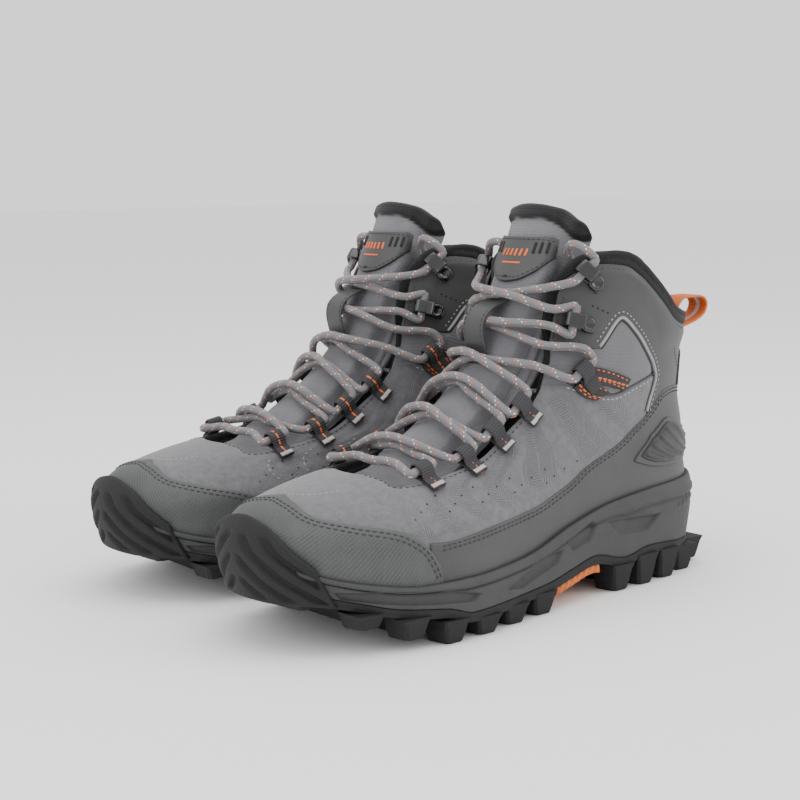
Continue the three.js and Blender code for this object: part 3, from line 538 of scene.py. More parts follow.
# ---- a boot and its pieces --------------------------------------------------------------------
@dataclass(frozen=True)
class Boot:
    """One boot of the pair: its name and the sign of its side."""

    name: str
    sign: int

    def place(self, points: Array) -> Array:
        """Own millimetres to the pair's metres: mirrored, turned out and set beside the other."""
        c, s = math.cos(math.radians(TOE_OUT)), math.sin(math.radians(TOE_OUT))
        x, y, z = points[..., 0], points[..., 1], points[..., 2]
        across = self.sign * (x * c - y * s + BOOT_SPACING / 2)
        return np.stack([across, x * s + y * c - PAIR_SHIFT, z], -1) / 1000

    def own(self, part: str) -> str:
        """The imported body's or the CAD node's name for a part of this boot."""
        return f"{self.name}_{part}"

    def make(self, name: str, patch: Patch, finish: bpy.types.Material, body: str = "boot",
             replaces: Sequence[str] = (), ride: bool = True,
             smooth: bool = True) -> bpy.types.Object:
        """Puts a patch into the scene as one piece.

        Args:
            name: The piece's own name, without the boot's.
            patch: Its mesh in the boot's own mm.
            finish: Its material.
            body: The part of the boot that it moves with.
            replaces: The CAD nodes that it stands for.
            ride: Whether it rides on the body now; if not, it is left without a parent.
            smooth: Whether its faces are shaded smooth.

        Returns:
            The new object, at the origin with its place in its mesh.
        """
        mesh = bpy.data.meshes.new(f"{self.name}_{name}")
        quads, tris = patch.quads, patch.tris
        if self.sign < 0:
            quads, tris = quads[:, ::-1], tris[:, ::-1]
        loops = np.concatenate([quads.ravel(), tris.ravel()]).astype(np.int32)
        totals = np.concatenate([np.full(len(quads), 4), np.full(len(tris), 3)]).astype(np.int32)
        mesh.vertices.add(len(patch.points))
        mesh.vertices.foreach_set("co", self.place(patch.points).astype(np.float32).ravel())
        mesh.loops.add(len(loops))
        mesh.loops.foreach_set("vertex_index", loops)
        mesh.polygons.add(len(totals))
        starts = np.concatenate([[0], np.cumsum(totals)[:-1]]).astype(np.int32)
        mesh.polygons.foreach_set("loop_start", starts)
        mesh.polygons.foreach_set("loop_total", totals)
        mesh.polygons.foreach_set("use_smooth", np.full(len(totals), smooth))
        mesh.update(calc_edges=True)
        layer = mesh.uv_layers.new(name="Laid")
        layer.data.foreach_set("uv", (patch.uv[loops] / 1000).astype(np.float32).ravel())
        for mark, value in patch.marks.items():
            attribute = mesh.attributes.new(mark, "FLOAT", "POINT")
            attribute.data.foreach_set("value", value.astype(np.float32))
        mesh.validate(clean_customdata=False)
        piece = bpy.data.objects.new(mesh.name, mesh)
        bpy.context.scene.collection.objects.link(piece)
        mesh.materials.append(finish)
        if ride:
            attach(piece, self.own(body))
        if replaces:
            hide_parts(*(self.own(n) for n in replaces))
        log.info("%s: %d points", piece.name, len(patch.points))
        return piece


BOOTS = (Boot("left", 1), Boot("right", -1))


# ---- finishes ---------------------------------------------------------------------------------
MATH = "ShaderNodeMath"
NOISE = "ShaderNodeTexNoise"
MIX = "ShaderNodeMix"
RANGE = "ShaderNodeMapRange"
MM = 1000.0  # patterns are counted in mm, coordinates are in metres


def linear(code: str, alpha: float = 1.0) -> tuple[float, float, float, float]:
    """An sRGB hex colour as linear light."""
    parts = [int(code[i:i + 2], 16) / 255 for i in (1, 3, 5)]
    r, g, b = (c / 12.92 if c <= 0.04045 else ((c + 0.055) / 1.055) ** 2.4 for c in parts)
    return (r, g, b, alpha)


def add(tree: Tree, kind: str, inputs: dict | None = None, **settings: object) -> bpy.types.Node:
    """Adds one node.

    Args:
        tree: The material's node tree.
        kind: The node's type.
        inputs: Its sockets by name or number: a value, a node (its first output) or a socket.
        settings: Its own properties.

    Returns:
        The node.
    """
    node = tree.nodes.new(kind)
    for name, value in settings.items():
        setattr(node, name, value)
    for key, value in (inputs or {}).items():
        if isinstance(value, bpy.types.Node):
            value = value.outputs[0]
        if isinstance(value, bpy.types.NodeSocket):
            tree.links.new(value, node.inputs[key])
        else:
            node.inputs[key].default_value = value
    return node


def blend_colour(tree: Tree, share: object, low: object, high: object) -> bpy.types.NodeSocket:
    """Colour between two, by a share from 0 to 1: the mix node's colour sockets are 6 and 7."""
    return add(tree, MIX, {0: share, 6: low, 7: high}, data_type="RGBA").outputs[2]


@dataclass(frozen=True)
class Finish:
    """A surface: its names, its colour and its gloss. Each kind adds its own pattern."""

    name: str
    slot: str
    colour: str
    roughness: float = 0.7
    ior: float = 1.5
    sheen: float = 0.0
    coat: float = 0.0
    depth: float = 0.15  # how deep the relief's 0 to 1 reaches, mm

    def pattern(self, tree: Tree) -> tuple[object, object]:
        """Colour and height of the surface, as a socket or a value each."""
        at = add(tree, "ShaderNodeTexCoord").outputs["Object"]
        grain = add(tree, NOISE, {"Vector": at, "Scale": 1.6 * MM, "Detail": 3.0})
        cloud = add(tree, NOISE, {"Vector": at, "Scale": 0.06 * MM, "Detail": 2.0})
        both = add(tree, MATH, {0: grain, 1: cloud}, operation="ADD")
        share = add(tree, RANGE, {0: both, 1: 0.7, 2: 1.3})
        return blend_colour(tree, share, self.shade(0.86), self.shade(1.1)), grain

    def shade(self, k: float) -> tuple[float, ...]:
        """The finish's colour made k times as light."""
        return tuple(np.clip(np.array(linear(self.colour)) * [k, k, k, 1], 0, 1))

    def material(self) -> bpy.types.Material:
        """The material, with its pattern on a Principled shader."""
        known = bpy.data.materials.get(self.name)
        if known is not None:
            return known
        material = bpy.data.materials.new(self.name)
        material.use_nodes = True
        material["slot"] = self.slot
        material.diffuse_color = linear(self.colour)
        tree = material.node_tree
        tree.nodes.clear()
        colour, height = self.pattern(tree)
        bump = add(tree, "ShaderNodeBump",
                   {"Height": height, "Distance": self.depth / MM, "Strength": 1.0})
        shader = add(tree, "ShaderNodeBsdfPrincipled", {
            "Base Color": colour, "Roughness": self.roughness, "IOR": self.ior, "Normal": bump,
            "Sheen Weight": self.sheen, "Sheen Roughness": 0.5, "Coat Weight": self.coat,
            "Coat Roughness": 0.25})
        add(tree, "ShaderNodeOutputMaterial", {"Surface": shader})
        return material


def stripes(tree: Tree, value: object, pitch: float, share: float,
            soft: float = 0.1) -> bpy.types.Node:
    """1 on stripes of a coordinate in metres, 0 between them.

    Args:
        tree: The node tree.
        value: The coordinate.
        pitch: From one stripe to the next, mm.
        share: The stripe's share of the pitch.
        soft: The softness of its edges, as a share of the pitch.
    """
    turns = add(tree, MATH, {0: value, 1: MM / pitch}, operation="MULTIPLY")
    saw = add(tree, MATH, {0: turns}, operation="FRACT")
    middle = add(tree, MATH, {0: saw, 1: 0.5}, operation="SUBTRACT")
    far = add(tree, MATH, {0: middle}, operation="ABSOLUTE")
    return add(tree, RANGE, {0: far, 1: share / 2 + soft / 2, 2: share / 2 - soft / 2})


@dataclass(frozen=True)
class Suede(Finish):
    """Brushed split leather: a short nap, lighter where it is stroked, with pressed strokes."""

    band: float = 5.0      # width of one column of pressed strokes, mm
    stroke: float = 2.1    # from one stroke to the next, mm
    lean: float = 62.0     # the columns' lean from level, degrees

    def pattern(self, tree: Tree) -> tuple[object, object]:
        """Nap from two noises; strokes are stripes on u + |v folded|, so they meet as chevrons."""
        coordinates = add(tree, "ShaderNodeTexCoord")
        at = coordinates.outputs["Object"]
        nap = add(tree, NOISE, {"Vector": at, "Scale": 1.15 * MM, "Detail": 4.0, "Roughness": 0.72})
        hair = add(tree, NOISE, {"Vector": at, "Scale": 0.3 * MM, "Detail": 3.0, "Roughness": 0.6})
        stroked = add(tree, NOISE, {"Vector": at, "Scale": 0.035 * MM, "Detail": 2.0})
        sum_one = add(tree, MATH, {0: nap, 1: 0.9, 2: hair}, operation="MULTIPLY_ADD")
        sum_two = add(tree, MATH, {0: stroked, 1: 0.3, 2: sum_one}, operation="MULTIPLY_ADD")
        share = add(tree, RANGE, {0: sum_two, 1: 0.7, 2: 1.75})
        colour = blend_colour(tree, share, linear("#504f52"), linear("#747376"))

        lay = add(tree, "ShaderNodeMapping", {"Vector": coordinates.outputs["UV"],
                                              "Rotation": (0.0, 0.0, math.radians(self.lean))})
        parts = add(tree, "ShaderNodeSeparateXYZ", {0: lay})
        folded = add(tree, MATH, {0: parts.outputs[1], 1: self.band / MM}, operation="PINGPONG")
        slant = add(tree, MATH, {0: folded, 1: 1.25, 2: parts.outputs[0]}, operation="MULTIPLY_ADD")
        pressed = stripes(tree, slant, self.stroke, 0.34, 0.2)
        edge = add(tree, MATH, {0: folded, 1: self.band / MM / 2}, operation="SUBTRACT")
        off_edge = add(tree, MATH, {0: edge}, operation="ABSOLUTE")
        inside = add(tree, RANGE, {0: off_edge, 1: self.band * 0.5 / MM, 2: self.band * 0.4 / MM})
        group = stripes(tree, parts.outputs[1], self.band * 4, 0.6, 0.03)
        where = add(tree, "ShaderNodeAttribute", attribute_name="pressed").outputs["Fac"]
        patchy = add(tree, RANGE, {0: hair, 1: 0.25, 2: 0.6})
        for mask in (inside, group, where, patchy):
            pressed = add(tree, MATH, {0: pressed, 1: mask}, operation="MULTIPLY")
        faint = add(tree, MATH, {0: pressed, 1: 0.85}, operation="MULTIPLY")
        colour = blend_colour(tree, faint, colour, linear("#454448"))
        fuzz = add(tree, MATH, {0: nap, 1: 0.25}, operation="MULTIPLY")
        height = add(tree, MATH, {0: fuzz, 1: pressed}, operation="SUBTRACT")
        return colour, height


@dataclass(frozen=True)
class HatchedLeather(Finish):
    """Coated leather with a fine printed hatch at 45 degrees, stronger low on the toe."""

    pitch: float = 1.5

    def pattern(self, tree: Tree) -> tuple[object, object]:
        """Hatch: stripes on a turned u, broken up by a slow noise and crossed by a fainter set."""
        coordinates = add(tree, "ShaderNodeTexCoord")
        at = coordinates.outputs["Object"]
        wobble = add(tree, NOISE, {"Vector": at, "Scale": 0.12 * MM, "Detail": 1.0})
        grain = add(tree, NOISE, {"Vector": at, "Scale": 1.8 * MM, "Detail": 2.0})
        hatches = []
        for turn, share in ((42.0, 0.34), (-48.0, 0.2)):
            lay = add(tree, "ShaderNodeMapping", {"Vector": coordinates.outputs["UV"],
                                                  "Rotation": (0.0, 0.0, math.radians(turn))})
            across = add(tree, "ShaderNodeSeparateXYZ", {0: lay}).outputs[0]
            wavy = add(tree, MATH, {0: wobble, 1: 0.9 / MM, 2: across}, operation="MULTIPLY_ADD")
            hatches.append(stripes(tree, wavy, self.pitch, share, 0.3))
        crossed = add(tree, MATH, {0: hatches[1], 1: 0.3, 2: hatches[0]}, operation="MULTIPLY_ADD")
        low = add(tree, "ShaderNodeAttribute", attribute_name="hatched").outputs["Fac"]
        broken = add(tree, RANGE, {0: wobble, 1: 0.3, 2: 0.62, 3: 0.25, 4: 1.0})
        cut = add(tree, MATH, {0: crossed, 1: low}, operation="MULTIPLY")
        cut = add(tree, MATH, {0: cut, 1: broken}, operation="MULTIPLY")
        tone = add(tree, RANGE, {0: grain, 1: 0.35, 2: 0.65})
        colour = blend_colour(tree, tone, linear("#424443"), linear("#4c4e4d"))
        faint = add(tree, MATH, {0: cut, 1: 0.62}, operation="MULTIPLY")
        height = add(tree, MATH, {0: grain, 1: 0.3}, operation="MULTIPLY")
        return (blend_colour(tree, faint, colour, linear("#2e302f")),
                add(tree, MATH, {0: height, 1: cut}, operation="SUBTRACT"))


@dataclass(frozen=True)
class Ripstop(Finish):
    """Light ripstop weave: a thick thread each few mm both ways, dark in the gaps between them."""

    pitch_u: float = 3.0
    pitch_v: float = 1.5
    gap: str = "#6d6c71"

    def pattern(self, tree: Tree) -> tuple[object, object]:
        """Two sets of stripes, along u and v, over a noise as fine as the threads."""
        coordinates = add(tree, "ShaderNodeTexCoord")
        laid = add(tree, "ShaderNodeSeparateXYZ", {0: coordinates.outputs["UV"]})
        thread = add(tree, NOISE,
                     {"Vector": coordinates.outputs["Object"], "Scale": 1.3 * MM, "Detail": 3.0})
        soft = add(tree, NOISE, {"Vector": coordinates.outputs["Object"], "Scale": 0.08 * MM})
        line_u = stripes(tree, laid.outputs[0], self.pitch_u, 0.2, 0.12)
        line_v = stripes(tree, laid.outputs[1], self.pitch_v, 0.3, 0.25)
        lines = add(tree, MATH, {0: line_u, 1: 0.55, 2: line_v}, operation="MULTIPLY_ADD")
        sunk = add(tree, MATH, {0: lines, 1: 0.5}, operation="MULTIPLY", use_clamp=True)
        tone = add(tree, MATH, {0: thread, 1: 0.8, 2: soft}, operation="MULTIPLY_ADD")
        share = add(tree, RANGE, {0: tone, 1: 0.55, 2: 1.25})
        cloth = blend_colour(tree, share, self.shade(0.82), self.shade(1.18))
        raised = add(tree, MATH, {0: thread, 1: 0.25}, operation="MULTIPLY")
        return (blend_colour(tree, sunk, cloth, linear(self.gap)),
                add(tree, MATH, {0: raised, 1: sunk}, operation="SUBTRACT"))


@dataclass(frozen=True)
class Tongued(Ripstop):
    """The same ripstop, black fleece where the tongue's top roll is."""

    def pattern(self, tree: Tree) -> tuple[object, object]:
        """The weave, turned to the fleece's black by the piece's own attribute."""
        colour, height = super().pattern(tree)
        roll = add(tree, "ShaderNodeAttribute", attribute_name="black").outputs["Fac"]
        return blend_colour(tree, roll, colour, linear("#0d0d0e")), height


@dataclass(frozen=True)
class Fleece(Finish):
    """Brushed knit: soft loops that catch a little light on black."""

    loop: float = 0.9

    def pattern(self, tree: Tree) -> tuple[object, object]:
        """Loops from a cell pattern, roughened by noise."""
        at = add(tree, "ShaderNodeTexCoord").outputs["Object"]
        loops = add(tree, "ShaderNodeTexVoronoi", {"Vector": at, "Scale": MM / self.loop})
        fluff = add(tree, NOISE, {"Vector": at, "Scale": 0.9 * MM, "Detail": 4.0})
        both = add(tree, MATH, {0: fluff, 1: loops.outputs["Distance"]}, operation="SUBTRACT")
        share = add(tree, RANGE, {0: both, 1: -0.2, 2: 0.5})
        return blend_colour(tree, share, linear(self.colour), self.shade(2.3)), both


@dataclass(frozen=True)
class Webbing(Finish):
    """Woven tape: ribs across it with painted light and shade, and threads of another colour along
    its middle.
    """

    rib: float = 1.3
    middle: float = WEB_WIDTH / 2
    stripe: float = 0.9
    stripe_colour: str = "#e2702a"
    dash: float = 3.6
    dash_share: float = 0.72

    def pattern(self, tree: Tree) -> tuple[object, object]:
        """Ribs are stripes along u, painted lighter on their crests and darker between them; the
        stripe is a band of v, cut into dashes along u.
        """
        coordinates = add(tree, "ShaderNodeTexCoord")
        laid = add(tree, "ShaderNodeSeparateXYZ", {0: coordinates.outputs["UV"]})
        fuzz = add(tree, NOISE,
                   {"Vector": coordinates.outputs["Object"], "Scale": 1.5 * MM, "Detail": 2.0})
        # Painted light and shade: the ribs that raise the bump also lighten and darken the tape's
        # colour.
        ribs = stripes(tree, laid.outputs[0], self.rib, 0.5, 0.5)
        tone = add(tree, MATH, {0: ribs, 1: 0.75, 2: fuzz}, operation="MULTIPLY_ADD")
        share = add(tree, RANGE, {0: tone, 1: 0.35, 2: 1.3})
        tape = blend_colour(tree, share, self.shade(0.5), self.shade(1.4))
        from_middle = add(tree, MATH, {0: laid.outputs[1], 1: self.middle / MM},
                          operation="SUBTRACT")
        off = add(tree, MATH, {0: from_middle}, operation="ABSOLUTE")
        band = add(tree, RANGE, {0: off, 1: (self.stripe / 2 + 0.12) / MM,
                                                2: (self.stripe / 2 - 0.12) / MM})
        dashes = stripes(tree, laid.outputs[0], self.dash, self.dash_share, 0.08)
        coloured = add(tree, MATH, {0: band, 1: dashes}, operation="MULTIPLY")
        return blend_colour(tree, coloured, tape, linear(self.stripe_colour)), ribs


@dataclass(frozen=True)
class Braid(Finish):
    """Round braided polyester: strands cross in two directions with painted shade between them, and
    pairs of bright flecks.
    """

    strand: float = 1.15
    fleck: float = 8.5

    def pattern(self, tree: Tree) -> tuple[object, object]:
        """Strands are stripes on u + v and u - v, with painted shade in the grooves between them;
        flecks are where rarer stripes of both meet.
        """
        coordinates = add(tree, "ShaderNodeTexCoord")
        laid = add(tree, "ShaderNodeSeparateXYZ", {0: coordinates.outputs["UV"]})
        u, v = laid.outputs[0], laid.outputs[1]
        one = add(tree, MATH, {0: v, 1: 0.95, 2: u}, operation="MULTIPLY_ADD")
        two = add(tree, MATH, {0: v, 1: -0.95, 2: u}, operation="MULTIPLY_ADD")
        first = stripes(tree, one, self.strand, 0.55, 0.5)
        second = stripes(tree, two, self.strand, 0.55, 0.5)
        weave = add(tree, MATH, {0: first, 1: second}, operation="MAXIMUM")
        # Painted shade: #5c5a5e fills the grooves where no strand is, and the strands take the
        # cord's own colour.
        colour = blend_colour(tree, weave, linear("#5c5a5e"), linear(self.colour))
        for shift, code, share in ((0.0, "#d8703a", 0.1), (1.7, "#d9d9d7", 0.09)):
            lines = []
            for value, pitch in ((one, self.fleck), (two, self.fleck * 0.37)):
                moved = add(tree, MATH, {0: value, 1: shift / MM}, operation="ADD")
                lines.append(stripes(tree, moved, pitch, share if value is one else 0.42, 0.04))
            spot = add(tree, MATH, {0: lines[0], 1: lines[1]}, operation="MULTIPLY")
            colour = blend_colour(tree, spot, colour, linear(code))
        return colour, weave


@dataclass(frozen=True)
class Stippled(Finish):
    """Moulded foam or rubber: a stipple from the mould, paler where it stands proud as a painted
    highlight, with dusty patches at random.
    """

    grit: float = 0.9
    dust_and_highlight: str = "#6a6a68"

    def pattern(self, tree: Tree) -> tuple[object, object]:
        """Stipple from a cell pattern, painted paler where it stands proud as a painted highlight;
        a slow noise adds dusty patches.
        """
        at = add(tree, "ShaderNodeTexCoord").outputs["Object"]
        cells = add(tree, "ShaderNodeTexVoronoi", {"Vector": at, "Scale": MM / self.grit})
        cloud = add(tree, NOISE, {"Vector": at, "Scale": 0.1 * MM, "Detail": 4.0})
        # The cells' distance is also the bump's height, so the raised points are painted paler as a
        # painted highlight; the slow noise adds random patches.
        tone = add(tree, MATH, {0: cells.outputs["Distance"], 1: 0.35, 2: cloud},
                   operation="MULTIPLY_ADD")
        share = add(tree, RANGE, {0: tone, 1: 0.35, 2: 1.0})
        colour = blend_colour(tree, share, linear(self.colour), linear(self.dust_and_highlight))
        return colour, cells.outputs["Distance"]


class Finishes:
    """Every finish of the boots."""

    suede = Suede("brushed_suede", "suede", "#7d7b7e", 0.95, sheen=0.25, depth=0.35)
    toe = HatchedLeather("hatched_toe_leather", "toe_leather", "#373837", 0.62, depth=0.12)
    smooth = Finish("coated_smooth_leather", "smooth_leather", "#3a3b3a", 0.52, depth=0.03)
    ripstop = Ripstop("light_ripstop", "textile", "#6d6c70", 0.85, sheen=0.2, depth=0.2)
    panel_mesh = Ripstop("ribbed_ankle_cloth", "textile", "#5f5e62", 0.8, sheen=0.2, depth=0.2,
                         pitch_u=40.0, pitch_v=1.9, gap="#626166")
    fleece = Fleece("black_fleece", "lining_fabric", "#0d0d0e", 0.95, sheen=0.06, depth=0.35)
    knit = Webbing("ribbed_collar_knit", "lining_fabric", "#141415", 0.85, depth=0.2, stripe=0.0,
                   rib=1.1, middle=-5.0)
    webbing = Webbing("dark_ribbed_webbing", "grey_webbing", "#2e2e31", 0.8, depth=0.25)
    strap = Webbing("dark_ankle_strap", "grey_webbing", "#2d2d30", 0.8, depth=0.2, dash=3.2,
                    dash_share=0.7, middle=3.4, rib=1.0)
    pull = Webbing("orange_pull_webbing", "orange_webbing", "#c05c1c", 0.7, depth=0.15, rib=0.9,
                   middle=PULL_WIDTH / 2, stripe=2.6, stripe_colour="#b9bcc0", dash=900.0,
                   dash_share=0.99)
    lace = Braid("flecked_braid", "lace_cord", "#7c7a7c", 0.7, sheen=0.1, depth=0.22)
    foam = Stippled("moulded_foam", "midsole_foam", "#303130", 0.72, depth=0.05, dust_and_highlight="#393a39")
    rubber = Stippled("moulded_rubber", "outsole_rubber", "#080809", 0.78, depth=0.14,
                      dust_and_highlight="#131315")
    arch = Finish("orange_moulded_plastic", "orange_tpu", "#c9661a", 0.45, depth=0.02)
    black = Finish("black_moulded_plastic", "black_tpu", "#202022", 0.5, depth=0.03)
    gloss = Finish("polished_black_plastic", "black_gloss", "#111113", 0.2, coat=0.4, depth=0.01)
    board = Stippled("pressed_fibreboard", "fibreboard", "#a38c68", 0.9, dust_and_highlight="#bba67f", depth=0.05)
    footbed = Fleece("footbed_fabric", "lining_fabric", "#2b2c30", 0.95, sheen=0.3, depth=0.2,
                     loop=1.6)
    tongue = Tongued("ripstop_and_fleece", "textile", "#6d6c70", 0.85, sheen=0.1, depth=0.2)
    piping = Finish("pale_edge_cord", "textile", "#8f8e8e", 0.7, depth=0.03)
    dark_thread = Finish("dark_bonded_thread", "smooth_leather", "#2c2c2d", 0.6, depth=0.02)
    light_thread = Finish("pale_bonded_thread", "suede", "#a9a7a3", 0.6, depth=0.02)
    orange_thread = Finish("orange_bonded_thread", "orange_webbing", "#e0631c", 0.55, depth=0.02)
    # Painted shade: dark discs and bars that stand for the shade inside the punched holes and the
    # badge's slots.
    shadow = Finish("painted_hole_shade", "black_tpu", "#19191a", 0.9, depth=0.01)


# ---- places on the last -----------------------------------------------------------------------
# Top edge of the toe cap and the rand, toe to heel.
LOW_EDGE: tuple[Place, ...] = (
    (0, 66), (0.2, 64.5), (0.43, 60), (0.64, 57), (0.84, 53.5), (0.98, 47.5), (1.04, 46),
    (1.27, 48), (1.53, 52), (1.63, 56), (1.72, 61), (1.81, 73), (1.89, 81), (1.96, 85), (2.04, 91),
    (2.14, 98), (2.33, 99), (2.7, 97), (3.2, 96))
# Throat edge, then the edge under the ankle panel: place on the low edge, place on this edge.
SUEDE_TOP: tuple[tuple[float, float, float], ...] = (
    (0, 0, 73), (0.2, 0.25, 72.8), (0.43, 0.5, 71.2), (0.64, 0.69, 69.2), (0.84, 0.81, 70.6),
    (1.03, 0.885, 77), (1.27, 0.88, 87), (1.4, 0.905, 98), (1.53, 0.88, 108), (1.63, 1.07, 107.5),
    (1.72, 1.2, 105), (1.81, 1.36, 101.5), (1.87, 1.55, 99.5), (1.91, 1.72, 103), (1.94, 1.9, 107))
CUFF_LOW: tuple[Place, ...] = (
    (0.78, 127.5), (0.91, 127), (1.22, 124.3), (1.35, 138), (1.52, 131), (1.7, 122), (1.88, 112),
    (1.965, 104), (1.975, 95), (1.985, 88.5), (2.04, 92), (2.14, 98.6), (2.33, 99.6), (2.6, 98),
    (2.87, 97.2), (math.pi, 97))
CUFF_TOP: tuple[Place, ...] = (
    (0.72, 150), (0.72, 154.4), (0.79, 159), (0.9, 162.8), (1.05, 164.4), (1.24, 163.4),
    (1.42, 158.4), (1.6, 151.4), (1.75, 145.4), (1.9, 139.4), (2, 135.6), (2.15, 132.4),
    (2.33, 130.4), (2.6, 129.4), (2.87, 129), (math.pi, 129))
LINING_EDGE: tuple[tuple[float, float, float], ...] = (
    (0, 0, 72), (0.25, 0.27, 71.8), (0.5, 0.52, 70.4), (0.75, 0.7, 68.4), (1, 0.82, 70.2),
    (1.2, 0.9, 78), (1.35, 0.89, 90), (1.48, 0.88, 103), (1.58, 0.84, 115), (1.68, 0.76, 128),
    (1.76, 0.66, 141), (1.84, 0.62, 155), (1.92, 0.68, 163.5), (2, 0.8, 169), (2.08, 0.95, 171),
    (2.2, 1.15, 171), (2.34, 1.35, 168.5), (2.46, 1.6, 159), (2.58, 1.85, 149), (2.68, 2.05, 142.8),
    (2.78, 2.3, 138.8), (2.88, 2.55, 137.4), (2.99, 2.8, 137), (math.pi, math.pi, 137))
FEATHER: tuple[Place, ...] = (
    (-146, 43), (-131, 37), (-113, 32), (-84, 28), (-55, 28), (-24, 29.5), (18, 40), (48, 46),
    (81, 49), (132, 50))
SOLE: tuple[Place, ...] = (
    (-146, 30), (-122, 25), (-100, 19.5), (-77, 16.5), (-63, 12.5), (-38, 13), (-10, 14.5),
    (14, 18.5), (32, 21.5), (57, 17), (76, 20), (122, 17), (140, 17))
TREAD: tuple[Place, ...] = (
    (-150, 26), (-132, 20), (-115, 13), (-92, 5), (-74, 0), (118, 0), (135, 3), (150, 7))
LINING_OUT = -PANEL - 1.3
PLACE_MM = (35.0, 1.0)  # millimetres for one unit of phi and of z
RAIL_STEPS = 400  # points along a panel's edges before they are spaced out by length


def low_edge(phi: Array) -> Array:
    """Height of the toe cap's and the rand's top edge."""
    return monotone(LOW_EDGE, phi)


def station(phi: Array) -> tuple[Array, Array, Array, Array]:
    """Feather line, cup floor, sole line and distance along the boot, at places round the sole."""
    turned = from_toe(phi)
    guess = LAST.base(turned, 33.0)[..., 1]
    y = LAST.base(turned, monotone(FEATHER, guess))[..., 1]
    feather = monotone(FEATHER, y)
    return feather, feather - CUP_DEPTH, monotone(SOLE, y), y


def across_toe(columns: Sequence[Column]) -> list[Column]:
    """Columns from the toe's middle, repeated on the inner side."""
    return [(-a, b, -c, d) for a, b, c, d in columns[:0:-1]] + list(columns)


def across_heel(columns: Sequence[Column]) -> list[Column]:
    """Columns up to the heel's middle, repeated past it."""
    return list(columns) + [(TURN - a, b, TURN - c, d) for a, b, c, d in columns[-2::-1]]


def on_last(path: Array, off: Array | float) -> tuple[Array, Array]:
    """Points of a path of places, off mm off the last, and the directions out of it there."""
    return LAST.at(path[:, 0], path[:, 1], off), LAST.outward(path[:, 0], path[:, 1])


def seam(path: Sequence[Place], shift: float, off: float,
         thread: Thread = Threads.leather) -> Patch:
    """Stitches along a path of places, moved sideways by shift and lying off mm off the last."""
    table = np.asarray(path, float)
    total = np.linalg.norm(np.diff(LAST.base(table[:, 0], table[:, 1]), axis=0), axis=1).sum()
    fine = rail(path, max(int(total / 1.5), 8), PLACE_MM)
    if shift:
        fine = LAST.beside(fine, shift)
    return stitches(*on_last(fine, off), thread)


def piping(path: Sequence[Place], shift: float, off: float, width: float, height: float) -> Patch:
    """A thin cord or bead along a path of places."""
    fine = rail(path, max(len(path) * 12, 24), PLACE_MM)
    if shift:
        fine = LAST.beside(fine, shift)
    line = even_steps(LAST.at(fine[:, 0], fine[:, 1], off), 1.2)
    s = np.linspace(0, len(fine) - 1, len(line))
    k = np.arange(len(fine))
    phi, z = np.interp(s, k, fine[:, 0]), np.interp(s, k, fine[:, 1])
    return swept(line, LAST.outward(phi, z), outline_ellipse(width, height, 8))


def mirror_path(path: Sequence[Place]) -> list[Place]:
    """A path of places on the other side of the boot."""
    return [(-phi, z) for phi, z in path]


def ring_path(path: Sequence[Place]) -> list[Place]:
    """A path from the throat to the heel's middle, carried on to the other side's throat."""
    return list(path) + [(TURN - phi, z) for phi, z in path[-2::-1]]


@dataclass
class Panel:
    """A flat piece of the upper, laid on the last between a lower and an upper edge."""

    columns: Sequence[Column]
    top: float = 0.0
    thick: float = PANEL
    edge: float = 0.7
    across: int = 160
    up: int = 30

    def grid(self) -> tuple[Array, Array, Array, Array]:
        """Places phi and z, share of the way up, and distance to the nearest edge in mm."""
        steps = self.edge * np.array([0.0, 0.08, 0.3, 0.62, 1.0])
        fine = rail(self.columns, RAIL_STEPS, PLACE_MM * 2)
        low, high = LAST.base(fine[:, 0], fine[:, 1]), LAST.base(fine[:, 2], fine[:, 3])
        middle = (low + high) / 2
        s = distances(middle)
        x = np.concatenate([steps, np.linspace(steps[-1], s[-1] - steps[-1], self.across)[1:-1],
                            s[-1] - steps[::-1]])
        columns = np.stack([np.interp(x, s, fine[:, k]) for k in range(4)], 1)
        long = np.maximum(np.interp(x, s, np.linalg.norm(high - low, axis=1)), 0.05)
        near = np.minimum(steps[None, :] / long[:, None], 0.3 * steps[None, :] / self.edge)
        inner = np.linspace(0, 1, self.up)[1:-1]
        last = near[:, -1:]
        v = np.concatenate([near, last + (1 - 2 * last) * inner, 1 - near[:, ::-1]], 1)
        phi = mix(columns[:, :1], columns[:, 2:3], v)
        z = mix(columns[:, 1:2], columns[:, 3:4], v)
        ends = np.minimum(x, s[-1] - x)[:, None]
        return phi, z, v, np.minimum(np.minimum(v, 1 - v) * long[:, None], ends)

    def patch(self, relief: Callable[[Array, Array, Array, Array], Array] | None = None,
              marks: Callable[[Array, Array, Array], dict[str, Array]] | None = None) -> Patch:
        """The panel's body: its edges are rounded off, and relief is added to its top.

        Args:
            relief: Height over the top from phi, z, share of the way up and distance to an edge.
            marks: Named values for the finish, from phi, z and share of the way up.
        """
        phi, z, v, d = self.grid()
        off = self.top - self.edge * round_over(d, self.edge)
        if relief is not None:
            off = off + relief(phi, z, v, d)
        named = marks(phi, z, v) if marks is not None else {}
        return sheet_solid(LAST.at(phi, z, off), LAST.at(phi, z, self.top - self.thick),
                           marks=named)


